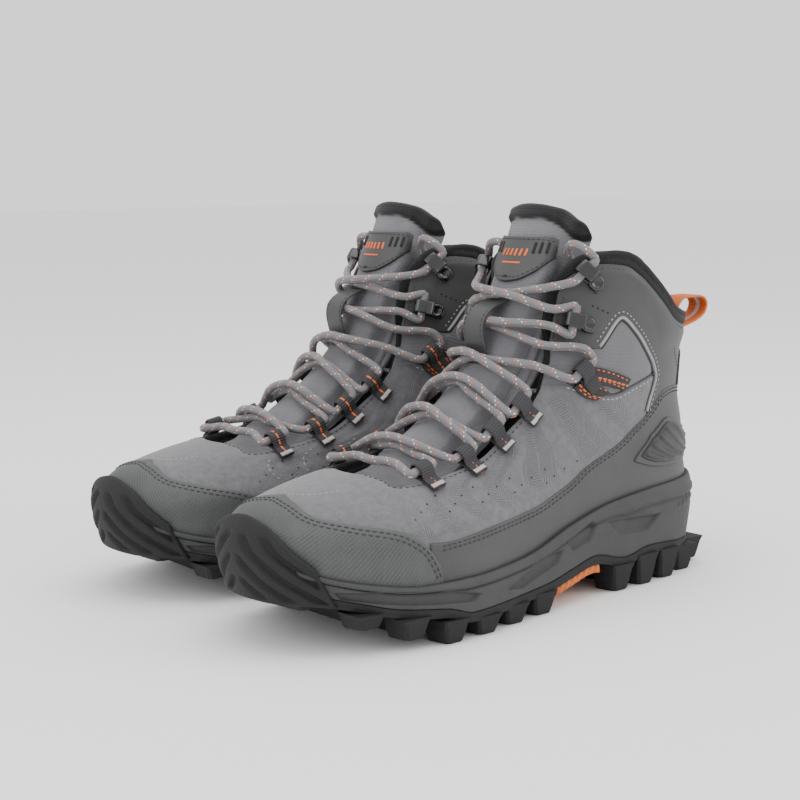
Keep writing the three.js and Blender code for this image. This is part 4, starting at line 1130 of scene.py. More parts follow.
def dots(places: Sequence[Place], radius: float, off: float) -> Patch:
    """Round punched holes, as dark discs of painted shade that stand a hair off the surface."""
    table = np.asarray(places, float)
    middle, n = on_last(table, off)
    one = unit(LAST.along(table[:, 0], table[:, 1]))
    two = np.cross(n, one)
    a = np.linspace(0, TURN, 8, endpoint=False)
    rim = (middle[:, None] + radius * (np.cos(a)[None, :, None] * one[:, None]
                                       + np.sin(a)[None, :, None] * two[:, None]))
    low, high = rim - 0.4 * n[:, None], rim + 0.12 * n[:, None]
    points = np.concatenate([low, high], 1)
    k = np.arange(8)
    wall = np.stack([k, (k + 1) % 8, (k + 1) % 8 + 8, k + 8], 1)
    caps = np.array([[8, 9, 10, 11], [8, 11, 12, 15], [12, 13, 14, 15],
                     [3, 2, 1, 0], [7, 4, 3, 0], [7, 6, 5, 4]])
    starts = 16 * np.arange(len(table))[:, None, None]
    quads = (np.concatenate([wall, caps])[None] + starts).reshape(-1, 4)
    return Patch(points.reshape(-1, 3), quads, np.zeros((16 * len(table), 2)))


def convex(y: Array, z: Array, corners: Sequence[Place], soft: float = 1.0) -> Array:
    """1 inside a convex outline in y and z, 0 outside it, with edges soft mm wide."""
    c = np.asarray(corners, float)
    d = np.full(np.shape(y), 1e9)
    ahead = np.roll(c, -1, axis=0)
    turn = np.sign((c[:, 0] * ahead[:, 1] - ahead[:, 0] * c[:, 1]).sum())
    for a, b in zip(c, ahead):
        e = (b - a) / np.linalg.norm(b - a)
        d = np.minimum(d, turn * (e[0] * (z - a[1]) - e[1] * (y - a[0])))
    return easy(d / soft)


def ridges(value: Array, pitch: float, share: float) -> Array:
    """Rounded ridges: 1 along the middle of each, 0 between them, once each pitch."""
    far = np.abs((value / pitch) % 1.0 - 0.5)
    return easy((share / 2 + 0.12 - far) / 0.24)


# ---- sole unit --------------------------------------------------------------------------------
@dataclass
class SoleUnit:
    """Midsole, outsole with its lugs and toe bumper, and the arch piece."""

    around: int = 640
    lip: float = 1.3
    recess: float = 2.0
    lug_length: float = 14.5
    # Share of a lug's height, how far its sides come in, and the cut of its corners.
    lug_rings: tuple[tuple[float, float, float], ...] = (
        (0.0, 1.7, 2.2), (0.05, 1.15, 1.7), (0.3, 0.7, 1.4), (0.75, 0.1, 1.2), (1.0, -0.5, 0.6))
    edge_lugs: tuple[float, ...] = (-112, -92, -71, -50, -29, -8, 53, 72, 91, 110)
    middle_lugs: tuple[float, ...] = (-102, -81, -60, -39, -18, 62, 82, 101)
    facets: tuple[tuple[Place, ...], ...] = (
        ((-126, 29.5), (-100, 28.2), (-74, 25.0), (-57, 20.6), (-62, 17.2), (-95, 20.6),
         (-124, 25.6)),
        ((-40, 18.5), (-8, 28.0), (6, 29.5), (1, 23), (-28, 16)),
        ((9, 32.5), (28, 39.5), (34, 37), (27, 29.5), (13, 27)),
        ((42, 37.5), (84, 35.5), (73, 28), (52, 28.5)))
    pod: tuple[Place, ...] = ((40, 41), (60, 44.5), (127, 45.5), (131, 38), (96, 34.5), (62, 37))
    slashes: tuple[Place, ...] = ((90, 36), (120, 44.5), (125, 42.5), (104, 35.4))

    def wall_off(self, phi: Array) -> Array:
        """How far the midsole's wall stands out: a little less round the toe."""
        return mix(2.6, 4.4, easy((from_toe(phi) - 0.4) / 0.35))

    def level(self, phi: Array, z: Array, off: Array) -> Array:
        """Points off the last whose height is exactly z."""
        points = LAST.at(phi, z, off)
        points[..., 2] = np.broadcast_to(z, points.shape[:-1])
        return points

    def midsole(self) -> Patch:
        """Band round the foot: up the wall with its facets, over a rolled lip, down inside.

        The wall leans from its full width at half height in to the feather line. The lip is half a
        circle added near the top, and each facet sinks by its own convex outline.
        """
        phi = np.linspace(0, TURN, self.around, endpoint=False)[:, None]
        feather, floor, sole, y = station(phi)
        w = self.wall_off(phi)
        v = np.linspace(0, 1, 46)[None, :]
        z = mix(sole + GAP / 2, feather + 0.5, v)
        lean = mix(w - 0.1, 2.3, easy((v - 0.45) / 0.6))
        bead = np.sqrt(np.clip(1 - ((v - 0.86) / 0.145) ** 2, 0, 1)) * self.lip
        valley = np.exp(-((v - 0.7) / 0.03) ** 2) * 0.9
        foot = round_over(v, 0.05) * 0.7
        off = lean + bead - valley - foot
        yy = np.broadcast_to(y, z.shape)
        for facet in self.facets:
            off = off - self.recess * convex(yy, z, facet, 1.0)
        plate = convex(yy, z, self.pod, 1.2)
        fine = ridges(yy * 0.8 + z * 1.4, 2.1, 0.5) * convex(yy, z, self.pod, 3.0)
        cut = convex(yy, z, self.slashes, 1.2)
        off = off + 0.75 * plate - 0.18 * fine * (1 - cut)
        off = off - 0.9 * cut * ridges(yy - 0.8 * z, 4.2, 0.4)
        wall = self.level(np.broadcast_to(phi, z.shape), z, off)
        levels = [feather, mix(feather, floor, 0.5), floor, floor, sole + GAP / 2]
        inner_z = np.concatenate(levels, 1)
        inner_off = np.broadcast_to(np.array([0.6, 0.5, 0.45, -12.0, -12.0]), inner_z.shape)
        inner = self.level(np.broadcast_to(phi, inner_z.shape), inner_z, inner_off)
        return grid_patch(np.concatenate([wall, inner, wall[:, :1]], 1), True)

    def plate(self, under: float, over: float, edge: float, phi: Array, across: int) -> Patch:
        """A sole plate: level lines from the inner to the outer side, between two depths.

        Args:
            under: Depth of its lower face under the sole line, mm.
            over: Depth of its upper face.
            edge: How far its wall stands past the midsole's.
            phi: The stations it covers.
            across: Cells across it.
        """
        _, _, sole, _ = station(phi)
        w = self.wall_off(phi) + edge
        share = crowded(across + 1, 1.6)

        def face(depth: float, tuck: float) -> Array:
            z = sole - depth
            return spanned(self.level(-phi, z, w - tuck), self.level(phi, z, w - tuck), share)

        # Depth and tuck of each level of the wall, from the lower face to the upper one.
        levels = ((under, 0.9), (under - 0.5, 0.25), ((under + over) / 2, 0.0),
                  (over + 0.4, 0.15), (over, 0.6))
        faces = [face(*level) for level in levels]
        body = sheet_solid(faces[0], faces[-1])
        body.quads = body.quads[: 2 * (len(phi) - 1) * across, ::-1]
        walls = [grid_patch(np.stack([f[:, column] for f in faces], 1), flip=flip)
                 for column, flip in ((0, -1), (-1, 1))]
        ends = [(np.stack([f[row] for f in faces], 1), flip) for row, flip in ((0, 1), (-1, -1))]
        # A pointed end is closed already; a wide one, as the arch piece has, gets its own wall.
        walls += [grid_patch(end, flip=flip) for end, flip in ends if np.ptp(end[:, 0, 0]) > 1.0]
        return merged([body, *walls])

    def side_at(self, y: float, side: int) -> float:
        """Where the sole's edge is at a distance along the boot."""
        phi = np.arange(0.1, 3.1, 0.005)
        points = LAST.base(side * phi, 33.0)
        return float(points[np.argmin(np.abs(points[:, 1] - y)), 0])

    def lug(self, y: float, length: float, outer: float, inner: float) -> Patch:
        """One lug: rings of eight corners from the ground to the plate, wider as they rise."""
        ground = max(float(monotone(TREAD, y)), 0.0)
        root = float(monotone(SOLE, min(max(y, -146), 140))) - PLATE + 1.2
        out = math.copysign(1.0, outer - inner)
        edge_lug = abs(inner) > 3 and abs(outer - inner) < 22
        rings = []
        for share, inset, cut in self.lug_rings:
            z = ground + share * (root - ground)
            flare = 1.4 * share if edge_lug else 0.0
            a, b = inner + out * inset, outer - out * inset + out * flare
            skew = (1.6 if edge_lug else 0.0) * (1 - share)
            y0, y1 = y - length / 2 + inset, y + length / 2 - inset
            c = min(cut, abs(b - a) / 3, (y1 - y0) / 3)
            rings.append([(a + out * c, y0, z), (b - out * c, y0 + skew, z), (b, y0 + c + skew, z),
                          (b, y1 - c, z), (b - out * c, y1, z), (a + out * c, y1, z),
                          (a, y1 - c, z), (a, y0 + c, z)])
        points = np.array(rings)
        if out < 0:
            points = points[:, ::-1]
        n, m = points.shape[:2]
        caps = np.array([[3, 2, 1, 0], [7, 4, 3, 0], [7, 6, 5, 4]])
        top = (n - 1) * m + np.array([[0, 1, 2, 3], [0, 3, 4, 7], [4, 5, 6, 7]])
        quads = np.concatenate([tube_quads(n, m), caps, top])
        return Patch(points.reshape(-1, 3), quads, np.zeros((n * m, 2)))

    def bumper(self) -> Patch:
        """Rubber wrapped up over the toe, with V grooves that open forwards.

        Its top edge is an arch in phi; the grooves are valleys along z + 62|phi|.
        """
        columns = across_toe([(0, 25, 0, 57), (0.2, 24.5, 0.18, 55), (0.36, 24, 0.33, 49),
                              (0.52, 23, 0.47, 40)])
        phi, z, _, d = Panel(columns, 0.0, 3.0, 1.4, 90, 50).grid()
        thick = 3 - 1.2 * easy((np.abs(phi) - 0.2) / 0.3)
        round_off = 1.4 * round_over(d, 1.4)
        inside = easy((d - 1.6) / 1.2) * easy((52 - z) / 3)
        off_middle = easy((np.abs(phi) - 0.02) / 0.03)
        valley = (1 - ridges(z + 62 * np.abs(phi), 9.0, 0.62)) * inside * off_middle
        w = self.wall_off(phi) + GAP
        return sheet_solid(LAST.at(phi, z, w + thick - round_off - 2.3 * valley),
                           LAST.at(phi, z, w - 0.4))

    def build(self, boots: Sequence[Boot]) -> None:
        """Makes and dresses the sole's pieces."""
        heel = math.pi
        stations = np.concatenate([np.linspace(0.004, 0.5, 40), np.linspace(0.52, heel - 0.3, 110),
                                   np.linspace(heel - 0.28, heel - 0.004, 30)])
        slab = self.plate(PLATE, 0.0, 0.15, stations, 40)
        lugs = []
        for side in (-1, 1):
            for y in self.edge_lugs:
                edge = self.side_at(y, side) + side * 4
                lugs.append(self.lug(y, self.lug_length, edge, edge - side * 15))
            lugs.append(self.lug(128, 13, side * 24, side * 4))
            lugs.append(self.lug(-130, 11, side * 25, side * 5))
        for y in self.middle_lugs:
            reach = min(abs(self.side_at(y, 1)), abs(self.side_at(y, -1))) - 17
            lugs.append(self.lug(y, 9, reach, -reach))
        tread, bumper, midsole = merged([slab, *lugs]), self.bumper(), self.midsole()
        arch_phi = np.linspace(1.625, 1.895, 60)
        arch = self.plate(PLATE + 4.6, PLATE + 0.4, -1.6, arch_phi, 30)
        ribs = ridges(arch.points[:, 1] - 0.4 * arch.points[:, 2], 4.4, 0.5)
        arch.points[:, 0] *= 1 + 0.02 * ribs
        arch.points[:, 2] += 0.35 * ribs
        for boot in boots:
            foam, rubber = Finishes.foam.material(), Finishes.rubber.material()
            boot.make("midsole_foam", midsole, foam, replaces=("midsole",))
            sole = boot.make("outsole_tread", tread, rubber, smooth=False, replaces=("outsole",))
            bevel = sole.modifiers.new("soft corners", "BEVEL")
            bevel.width, bevel.segments = 0.0003, 2
            bevel.limit_method, bevel.harden_normals = "ANGLE", False
            boot.make("toe_bumper", bumper, rubber)
            boot.make("arch_insert", arch, Finishes.arch.material(), replaces=("arch_plate",))


# ---- camera and room --------------------------------------------------------------------------
@dataclass(frozen=True)
class Studio:
    """Camera, floor and soft light."""

    eye: tuple[float, float, float] = (0.6533, -0.52655, 0.2081)
    right: tuple[float, float, float] = (0.61932, 0.78509, -0.00889)
    up: tuple[float, float, float] = (-0.10265, 0.09218, 0.99044)
    forward: tuple[float, float, float] = (-0.77840, 0.61249, -0.13768)
    lens: float = 72.9

    def camera(self) -> None:
        """Sets the camera at the viewing place."""
        data = bpy.data.cameras.new("camera")
        data.lens, data.sensor_width, data.sensor_fit = self.lens, 36.0, "HORIZONTAL"
        data.clip_start, data.clip_end = 0.01, 50.0
        turn = Matrix((self.right, self.up, tuple(-f for f in self.forward))).transposed()
        camera = bpy.data.objects.new("camera", data)
        camera.matrix_world = Matrix.Translation(self.eye) @ turn.to_4x4()
        bpy.context.scene.collection.objects.link(camera)
        bpy.context.scene.camera = camera

    def area(self, name: str, place: tuple[float, float, float], size: float, power: float) -> None:
        """A square soft light that faces the boots."""
        data = bpy.data.lights.new(name, "AREA")
        data.size, data.energy = size, power
        light = bpy.data.objects.new(name, data)
        aim = Vector((0.0, 0.0, 0.08)) - Vector(place)
        turn = aim.to_track_quat("-Z", "Y").to_matrix().to_4x4()
        light.matrix_world = Matrix.Translation(place) @ turn
        bpy.context.scene.collection.objects.link(light)

    def room(self) -> None:
        """A pale floor, a large top light, a key from the camera's left and a rear fill."""
        mesh = bpy.data.meshes.new("floor")
        mesh.from_pydata([(-9, -9, 0), (9, -9, 0), (9, 9, 0), (-9, 9, 0)], [], [(0, 1, 2, 3)])
        floor = bpy.data.objects.new("floor", mesh)
        bpy.context.scene.collection.objects.link(floor)
        material = bpy.data.materials.new("pale_floor")
        material.use_nodes = True
        shader = material.node_tree.nodes["Principled BSDF"]
        shader.inputs["Base Color"].default_value = linear("#f7f7f7")
        shader.inputs["Roughness"].default_value = 0.9
        mesh.materials.append(material)
        world = bpy.data.worlds.new("room")
        world.use_nodes = True
        world.node_tree.nodes["Background"].inputs["Color"].default_value = linear("#ffffff")
        world.node_tree.nodes["Background"].inputs["Strength"].default_value = 1.35
        bpy.context.scene.world = world
        self.area("top", (0.1, 0.0, 1.3), 1.2, 9.0)
        self.area("key", (0.2, -1.3, 0.8), 0.8, 5.0)
        self.area("rear", (0.9, 0.9, 0.7), 0.7, 5.0)


# ---- lace -------------------------------------------------------------------------------------
WEB_ROOM = GAP * 2 + 0.4
LACE_OFF = LOOP_HOLE + WEB_ROOM
HOOK_HOLE = HOOK_SEAT + HOOK_RISE / 2
INSIDE = LINING_OUT - LINING - LACE_D / 2
Spot = tuple[float, float, float]
LOOPS: tuple[Spot, ...] = ((0.7, 71.6, 0), (0.77, 76.5, 0), (0.77, 87, 0), (0.81, 98, 0))
ANKLE_LOOP: Spot = (1.13, 113.4, -22)
HOOKS: dict[str, Spot] = {"low": (0.98, 136, 4), "top": (0.95, 158, -26)}


def flat_at(spot: Spot, side: int) -> FlatMap:
    """The flat map round a fitting's place, on one side of the boot."""
    return LAST.flat_map(side * spot[0], spot[1], spot[2])


@dataclass(frozen=True)
class Lace:
    """The lace: one cord through every loop and hook, its ends tucked down inside the collar."""

    guides: tuple[tuple[int, Spot, float, float, float | None], ...] = (
        (1, LOOPS[0], 0, LACE_OFF, None), (-1, LOOPS[1], 0, LACE_OFF, None),
        (1, LOOPS[2], 0, LACE_OFF, None), (-1, LOOPS[3], 0, LACE_OFF, None),
        (1, ANKLE_LOOP, 0, LACE_OFF, -6.5), (-1, HOOKS["low"], -3.7, HOOK_HOLE, None),
        (1, HOOKS["top"], -3.7, HOOK_HOLE, None))
    crossings: tuple[float, ...] = (81.5, 94, 108, 119.6, 135.5, 149.6)
    lift: float = 0.4
    run: float = WEB_WIDTH / 2 + LACE_D / 2 + 1
    tuck: tuple[tuple[float, float, float], ...] = (
        (0.78, 172, 3.6), (0.68, 174, -1.4), (0.68, 171, INSIDE + 0.7), (0.82, 165, INSIDE - 3.1),
        (1.04, 156, INSIDE - 3.1), (1.25, 140, INSIDE - 2.3), (1.4, 118, INSIDE - 1.7),
        (1.5, 98, INSIDE - 2.7), (1.75, 92, INSIDE - 4.7), (2.1, 92, INSIDE - 7.7))

    def crossing(self, side: int, start: Spot, end: Spot, middle: float,
                 over: float) -> list[Array]:
        """Points from a guide on one side over the tongue to a guide on the other side."""
        ways = [(-0.72, 4.2)] if start[0] > 0.85 else []
        ways += [(-0.3, self.lift + over + 0.3), (0.0, self.lift + over),
                 (0.3, self.lift + over + 0.3)]
        ways += [(0.72, 4.2)] if end[0] > 0.85 else []
        points = []
        for phi, lift in ways:
            far, z = (start[0], start[1] + 2) if phi < 0 else (end[0], end[1] - 2)
            points.append(LAST.at(side * phi, mix(middle, z, (abs(phi) / far) ** 1.5), lift))
        return points

    def strand(self, own: int) -> list[Array]:
        """Points of one strand, from the toe to its tucked end."""
        over = 0.0 if own > 0 else LACE_D + 0.6
        points = [LAST.at(own * 0.34, 75.0, 1.6)]
        last: Spot | None = None
        for k, (side, spot, a, off, bend) in enumerate(self.guides):
            if last is not None:
                points += self.crossing(own * side, last, spot, self.crossings[k - 1], over)
            here = flat_at(spot, own * side)
            share = np.array([-1.0, -0.45, 0.45, 1.0])
            points += list(here(np.full(4, a), share * self.run, np.full(4, off)))
            if bend is not None:
                points.append(here(bend, self.run + 0.4, off + 0.4))
            last = spot
        points += [LAST.at(own * phi, z, off) for phi, z, off in self.tuck]
        return points

    def route(self) -> Array:
        """The whole centreline in a boot's own mm, end to end."""
        one, two = self.strand(1), self.strand(-1)
        return through(np.array([*one[::-1], LAST.at(0.0, 75.8, 0.8), *two]), 7)

    def build(self, boots: Sequence[Boot]) -> None:
        line = even_steps(self.route(), 1.0)
        down = unit(np.gradient(line, axis=0))
        helper = unit(np.stack([0 * line[:, 0], -1 + 0 * line[:, 0], 2 + 0 * line[:, 0]], 1))
        normals = unit(np.cross(np.cross(down, helper), down))
        tube = swept(line, normals, outline_ellipse(LACE_D, LACE_D, 14))
        for boot in boots:
            piece = boot.make("lace_cord", tube, Finishes.lace.material(), replaces=("lace",))
            path = boot.place(line)


# ---- upper ------------------------------------------------------------------------------------
HALF_SEAM = 0.35


def low_columns(phis: Sequence[float], depth: float, lift: float) -> list[Column]:
    """Columns from inside the midsole's cup up to the low edge."""
    feather, _, _, _ = station(np.asarray(phis, float))
    return [(p, float(f) - depth, p, float(low_edge(np.asarray(p))) + lift)
            for p, f in zip(phis, feather)]


@dataclass
class Upper:
    """The leather, suede and cloth panels, with their seams, trims and punched holes, the holes as
    discs of painted shade.
    """

    cap: float = 1.3
    rand: float = 0.8
    cuff: float = 0.4
    cloth: float = -0.4
    toe_rear: tuple[tuple[float, float, float], ...] = (
        (0.84, 53.8, 0.84), (0.94, 49.5, 0.94), (1.0, 43.5, 1.0), (1.035, 36.0, 1.035))

    def suede(self) -> Patch:
        """Vamp and quarter: smooth in front, pressed with herringbone columns behind."""
        # The last column fills the corner behind the ankle cloth.
        columns = [(low, float(low_edge(np.asarray(low))) - 2.5, phi, z - HALF_SEAM)
                   for low, phi, z in (*SUEDE_TOP, (2.0, 1.99, 104.5))]

        def marks(phi: Array, z: Array, v: Array) -> dict[str, Array]:
            turned = np.abs(phi)
            press = easy((turned - 0.9) / 0.12) * easy((1.88 - turned) / 0.1)
            press = press * easy((v - 0.08) / 0.1) * easy((0.93 - v) / 0.08)
            return {"pressed": press * np.sign(phi + 1e-6)}

        def relief(phi: Array, z: Array, v: Array, d: Array) -> Array:
            turned = np.abs(phi)
            flex = np.exp(-((turned - 0.85) / 0.25) ** 2)
            flex = flex * easy((v - 0.1) / 0.3) * easy((0.95 - v) / 0.2)
            return 0.25 * flex * np.sin(turned * 22 + z * 0.11) - 0.1 * flex

        return Panel(across_toe(columns), 0.0, PANEL, 0.8, 360, 60).patch(relief, marks)

    def toe_cap(self) -> Patch:
        """Toe cap over the suede's front edge, with its rear corner rounded into the rand."""
        front = [0, 0.1, 0.2, 0.43, 0.64]
        columns = low_columns(front, 4.0, 0.0)
        feather = [float(station(np.array([p]))[0][0]) - 4.0 for p, _, _ in self.toe_rear]
        columns += [(low, f, phi, z) for (low, z, phi), f in zip(self.toe_rear, feather)]

        def marks(phi: Array, z: Array, v: Array) -> dict[str, Array]:
            return {"hatched": easy((0.9 - v) / 0.06)}

        panel = Panel(across_toe(columns), self.cap, self.cap - 0.05, 0.9, 260, 40)
        return panel.patch(None, marks)

    def rand_panel(self) -> Patch:
        """Rand round the sides and the heel, its front edge under the toe cap."""
        phis = [1.0, 1.08, 1.27, 1.53, 1.63, 1.72, 1.81, 1.89, 1.96, 2.04, 2.14, 2.33, 2.7, math.pi]
        columns = across_heel(low_columns(phis, 4.0, 0.0))
        return Panel(columns, self.rand, self.rand - 0.05, 0.9, 380, 36).patch()

    def cuff_panel(self) -> Patch:
        """Smooth cuff round the ankle and the heel."""
        columns = [(low, z - 1.2, top, high) for (low, z), (top, high) in zip(CUFF_LOW, CUFF_TOP)]

        def relief(phi: Array, z: Array, v: Array, d: Array) -> Array:
            behind = easy((from_toe(phi) - 0.85) / 0.2)
            return 0.9 * easy((v - 0.55) / 0.35) * easy((d - 0.3) / 5) * behind

        return Panel(across_heel(columns), self.cuff, PANEL + 0.2, 0.9, 380, 44).patch(relief)

    def ankle(self, side: int) -> Patch:
        """Cloth panel under the ankle strap, its edges under the suede and the cuff."""
        low = [(phi, z - 1.5) for _, phi, z in SUEDE_TOP[8:]]
        columns = [(side * p, z, side * CUFF_LOW[i][0], CUFF_LOW[i][1] + 0.5)
                   for i, (p, z) in enumerate(low)]
        if side < 0:
            columns = columns[::-1]

        def relief(phi: Array, z: Array, v: Array, d: Array) -> Array:
            return 0.8 * easy(d / 7)

        return Panel(columns, self.cloth, 1.0, 0.5, 110, 34).patch(relief)

    def trims(self) -> dict[str, list[Patch]]:
        """Seams, cords, lines and punched holes as discs of painted shade, gathered by what they
        are made of.
        """
        cap_line = [(0, 64.6), (0.2, 63.2), (0.43, 58.8), (0.64, 55.8), (0.84, 52.4), (0.93, 48.6),
                    (0.99, 43), (1.02, 36), (1.03, 31)]
        whole_cap = mirror_path(cap_line[:0:-1]) + cap_line
        rand_line = [(1.05, 45.2), (1.27, 47), (1.53, 51), (1.63, 55), (1.72, 60), (1.8, 70),
                     (1.88, 79.4), (1.96, 84.4), (2.04, 90), (2.14, 96.6), (2.33, 98), (2.7, 96),
                     (math.pi, 95.2)]
        around = ring_path(rand_line)
        cloth_low = [(phi, z) for _, phi, z in SUEDE_TOP[8:]]
        cloth_high = CUFF_LOW[2:10]
        edge = [(phi, z) for _, phi, z in SUEDE_TOP[1:8]]
        dark = [seam(whole_cap, -0.4, self.cap), seam(whole_cap, -2.3, self.cap),
                seam(around, -0.6, self.rand), seam(around, -2.5, self.rand)]
        light, cord, black, holes = [], [], [], []
        for side in (1, -1):
            flip = (lambda path: path) if side > 0 else mirror_path
            dark.append(seam(flip(edge), -2.2 * side, 0.0, Threads.cloth))
            light.append(seam(flip(cloth_low[1:]), -1.8 * side, 0.0, Threads.cloth))
            light.append(seam(flip(cloth_high), 2.6 * side, self.cuff, Threads.ankle))
            cord.append(piping(flip(cloth_high), -0.2 * side, self.cuff - 0.1, 1.7, 1.5))
            black.append(piping(flip(cloth_high), -1.6 * side, self.cloth + 0.3, 1.3, 0.9))
            black.append(piping(flip(cloth_low[1:]), 0.6 * side, self.cloth + 0.3, 1.1, 0.9))
            dark.append(seam(flip(CUFF_TOP[2:13]), -2.4 * side, self.cuff + 0.25, Threads.cuff))
            front = flip([(0.76, 129), (0.75, 140), (0.74, 150)])
            dark.append(seam(front, -2.0 * side, self.cuff, Threads.cuff))
            for k, phi in enumerate((0.93, 1.09, 1.25, 1.41, 1.57)):
                base = 57.0 + 1.3 * k
                holes += [(side * (phi + 0.02 * n), base + 2.6 * n) for n in range(4)]
            holes += [(side * (2.1 + 0.035 * n), 124 - 1.9 * n) for n in range(9)]
            holes += [(side * (1.06 + 0.05 * n), 144 - 1.2 * n) for n in range(4)]
        dots_low = dots([h for h in holes if h[1] < 100], 0.45, 0.02)
        dots_high = dots([h for h in holes if h[1] >= 100], 0.5, self.cuff + 0.05)
        for k in range(5):
            line = [(0.9 + 0.14 * k, 66 + 3 * k), (0.98 + 0.14 * k, 60 + 3.2 * k),
                    (1.04 + 0.14 * k, 56.5 + 1.4 * k)]
            light.append(seam(mirror_path(line), 0.0, 0.0, Threads.quarter))
        vamp = [(0, 65.8), (0.15, 65.9), (0.3, 66.4), (0.42, 67.5)]
        light.append(seam(mirror_path(vamp[:0:-1]) + vamp, 3.0, 0.0, Threads.vamp))
        return {"dark": dark, "light": light, "cord": cord, "black": black,
                "holes": [dots_low, dots_high]}

    def build(self, boots: Sequence[Boot]) -> None:
        """Makes and dresses the panels and their trims."""
        suede, cap, rand, cuff = self.suede(), self.toe_cap(), self.rand_panel(), self.cuff_panel()
        cloth = {"lateral": self.ankle(1), "medial": self.ankle(-1)}
        trims = {name: merged(parts) for name, parts in self.trims().items()}
        for boot in boots:
            smooth = Finishes.smooth.material()
            boot.make("suede_vamp", suede, Finishes.suede.material(), replaces=("suede_upper",))
            boot.make("toe_cap_leather", cap, Finishes.toe.material(), replaces=("toe_cap",))
            boot.make("rand_leather", rand, smooth, replaces=("rand",))
            boot.make("cuff_leather", cuff, smooth, replaces=("cuff",))
            for side, patch in cloth.items():
                boot.make(f"ankle_cloth_{side}", patch, Finishes.panel_mesh.material(),
                          replaces=(f"ankle_panel_{side}",))
            boot.make("seams_dark", trims["dark"], Finishes.dark_thread.material())
            boot.make("seams_light", trims["light"], Finishes.light_thread.material())
            boot.make("ankle_piping", trims["cord"], Finishes.piping.material())
            boot.make("ankle_line", trims["black"], Finishes.black.material())
            boot.make("punched_hole_shade", trims["holes"], Finishes.shadow.material())


# ---- collar, footbed and heel -----------------------------------------------------------------
def stiffened(phi: Array, z: Array) -> Array:
    """1 where the heel counter lies behind the lining."""
    return easy((np.abs(phi) - 1.75) / 0.2) * easy((104 - z) / 8)


def on_instep(phi: Array, z: Array) -> Array:
    """1 where the lining thins and dips under the lace loops."""
    return easy((1.75 - phi) / 0.4) * easy((118 - z) / 12)


def lining_out(phi: Array, z: Array) -> Array:
    """How far the lining's outer face is off the last."""
    return LINING_OUT - (COUNTER + 3.4) * stiffened(phi, z) - 2.2 * on_instep(phi, z)


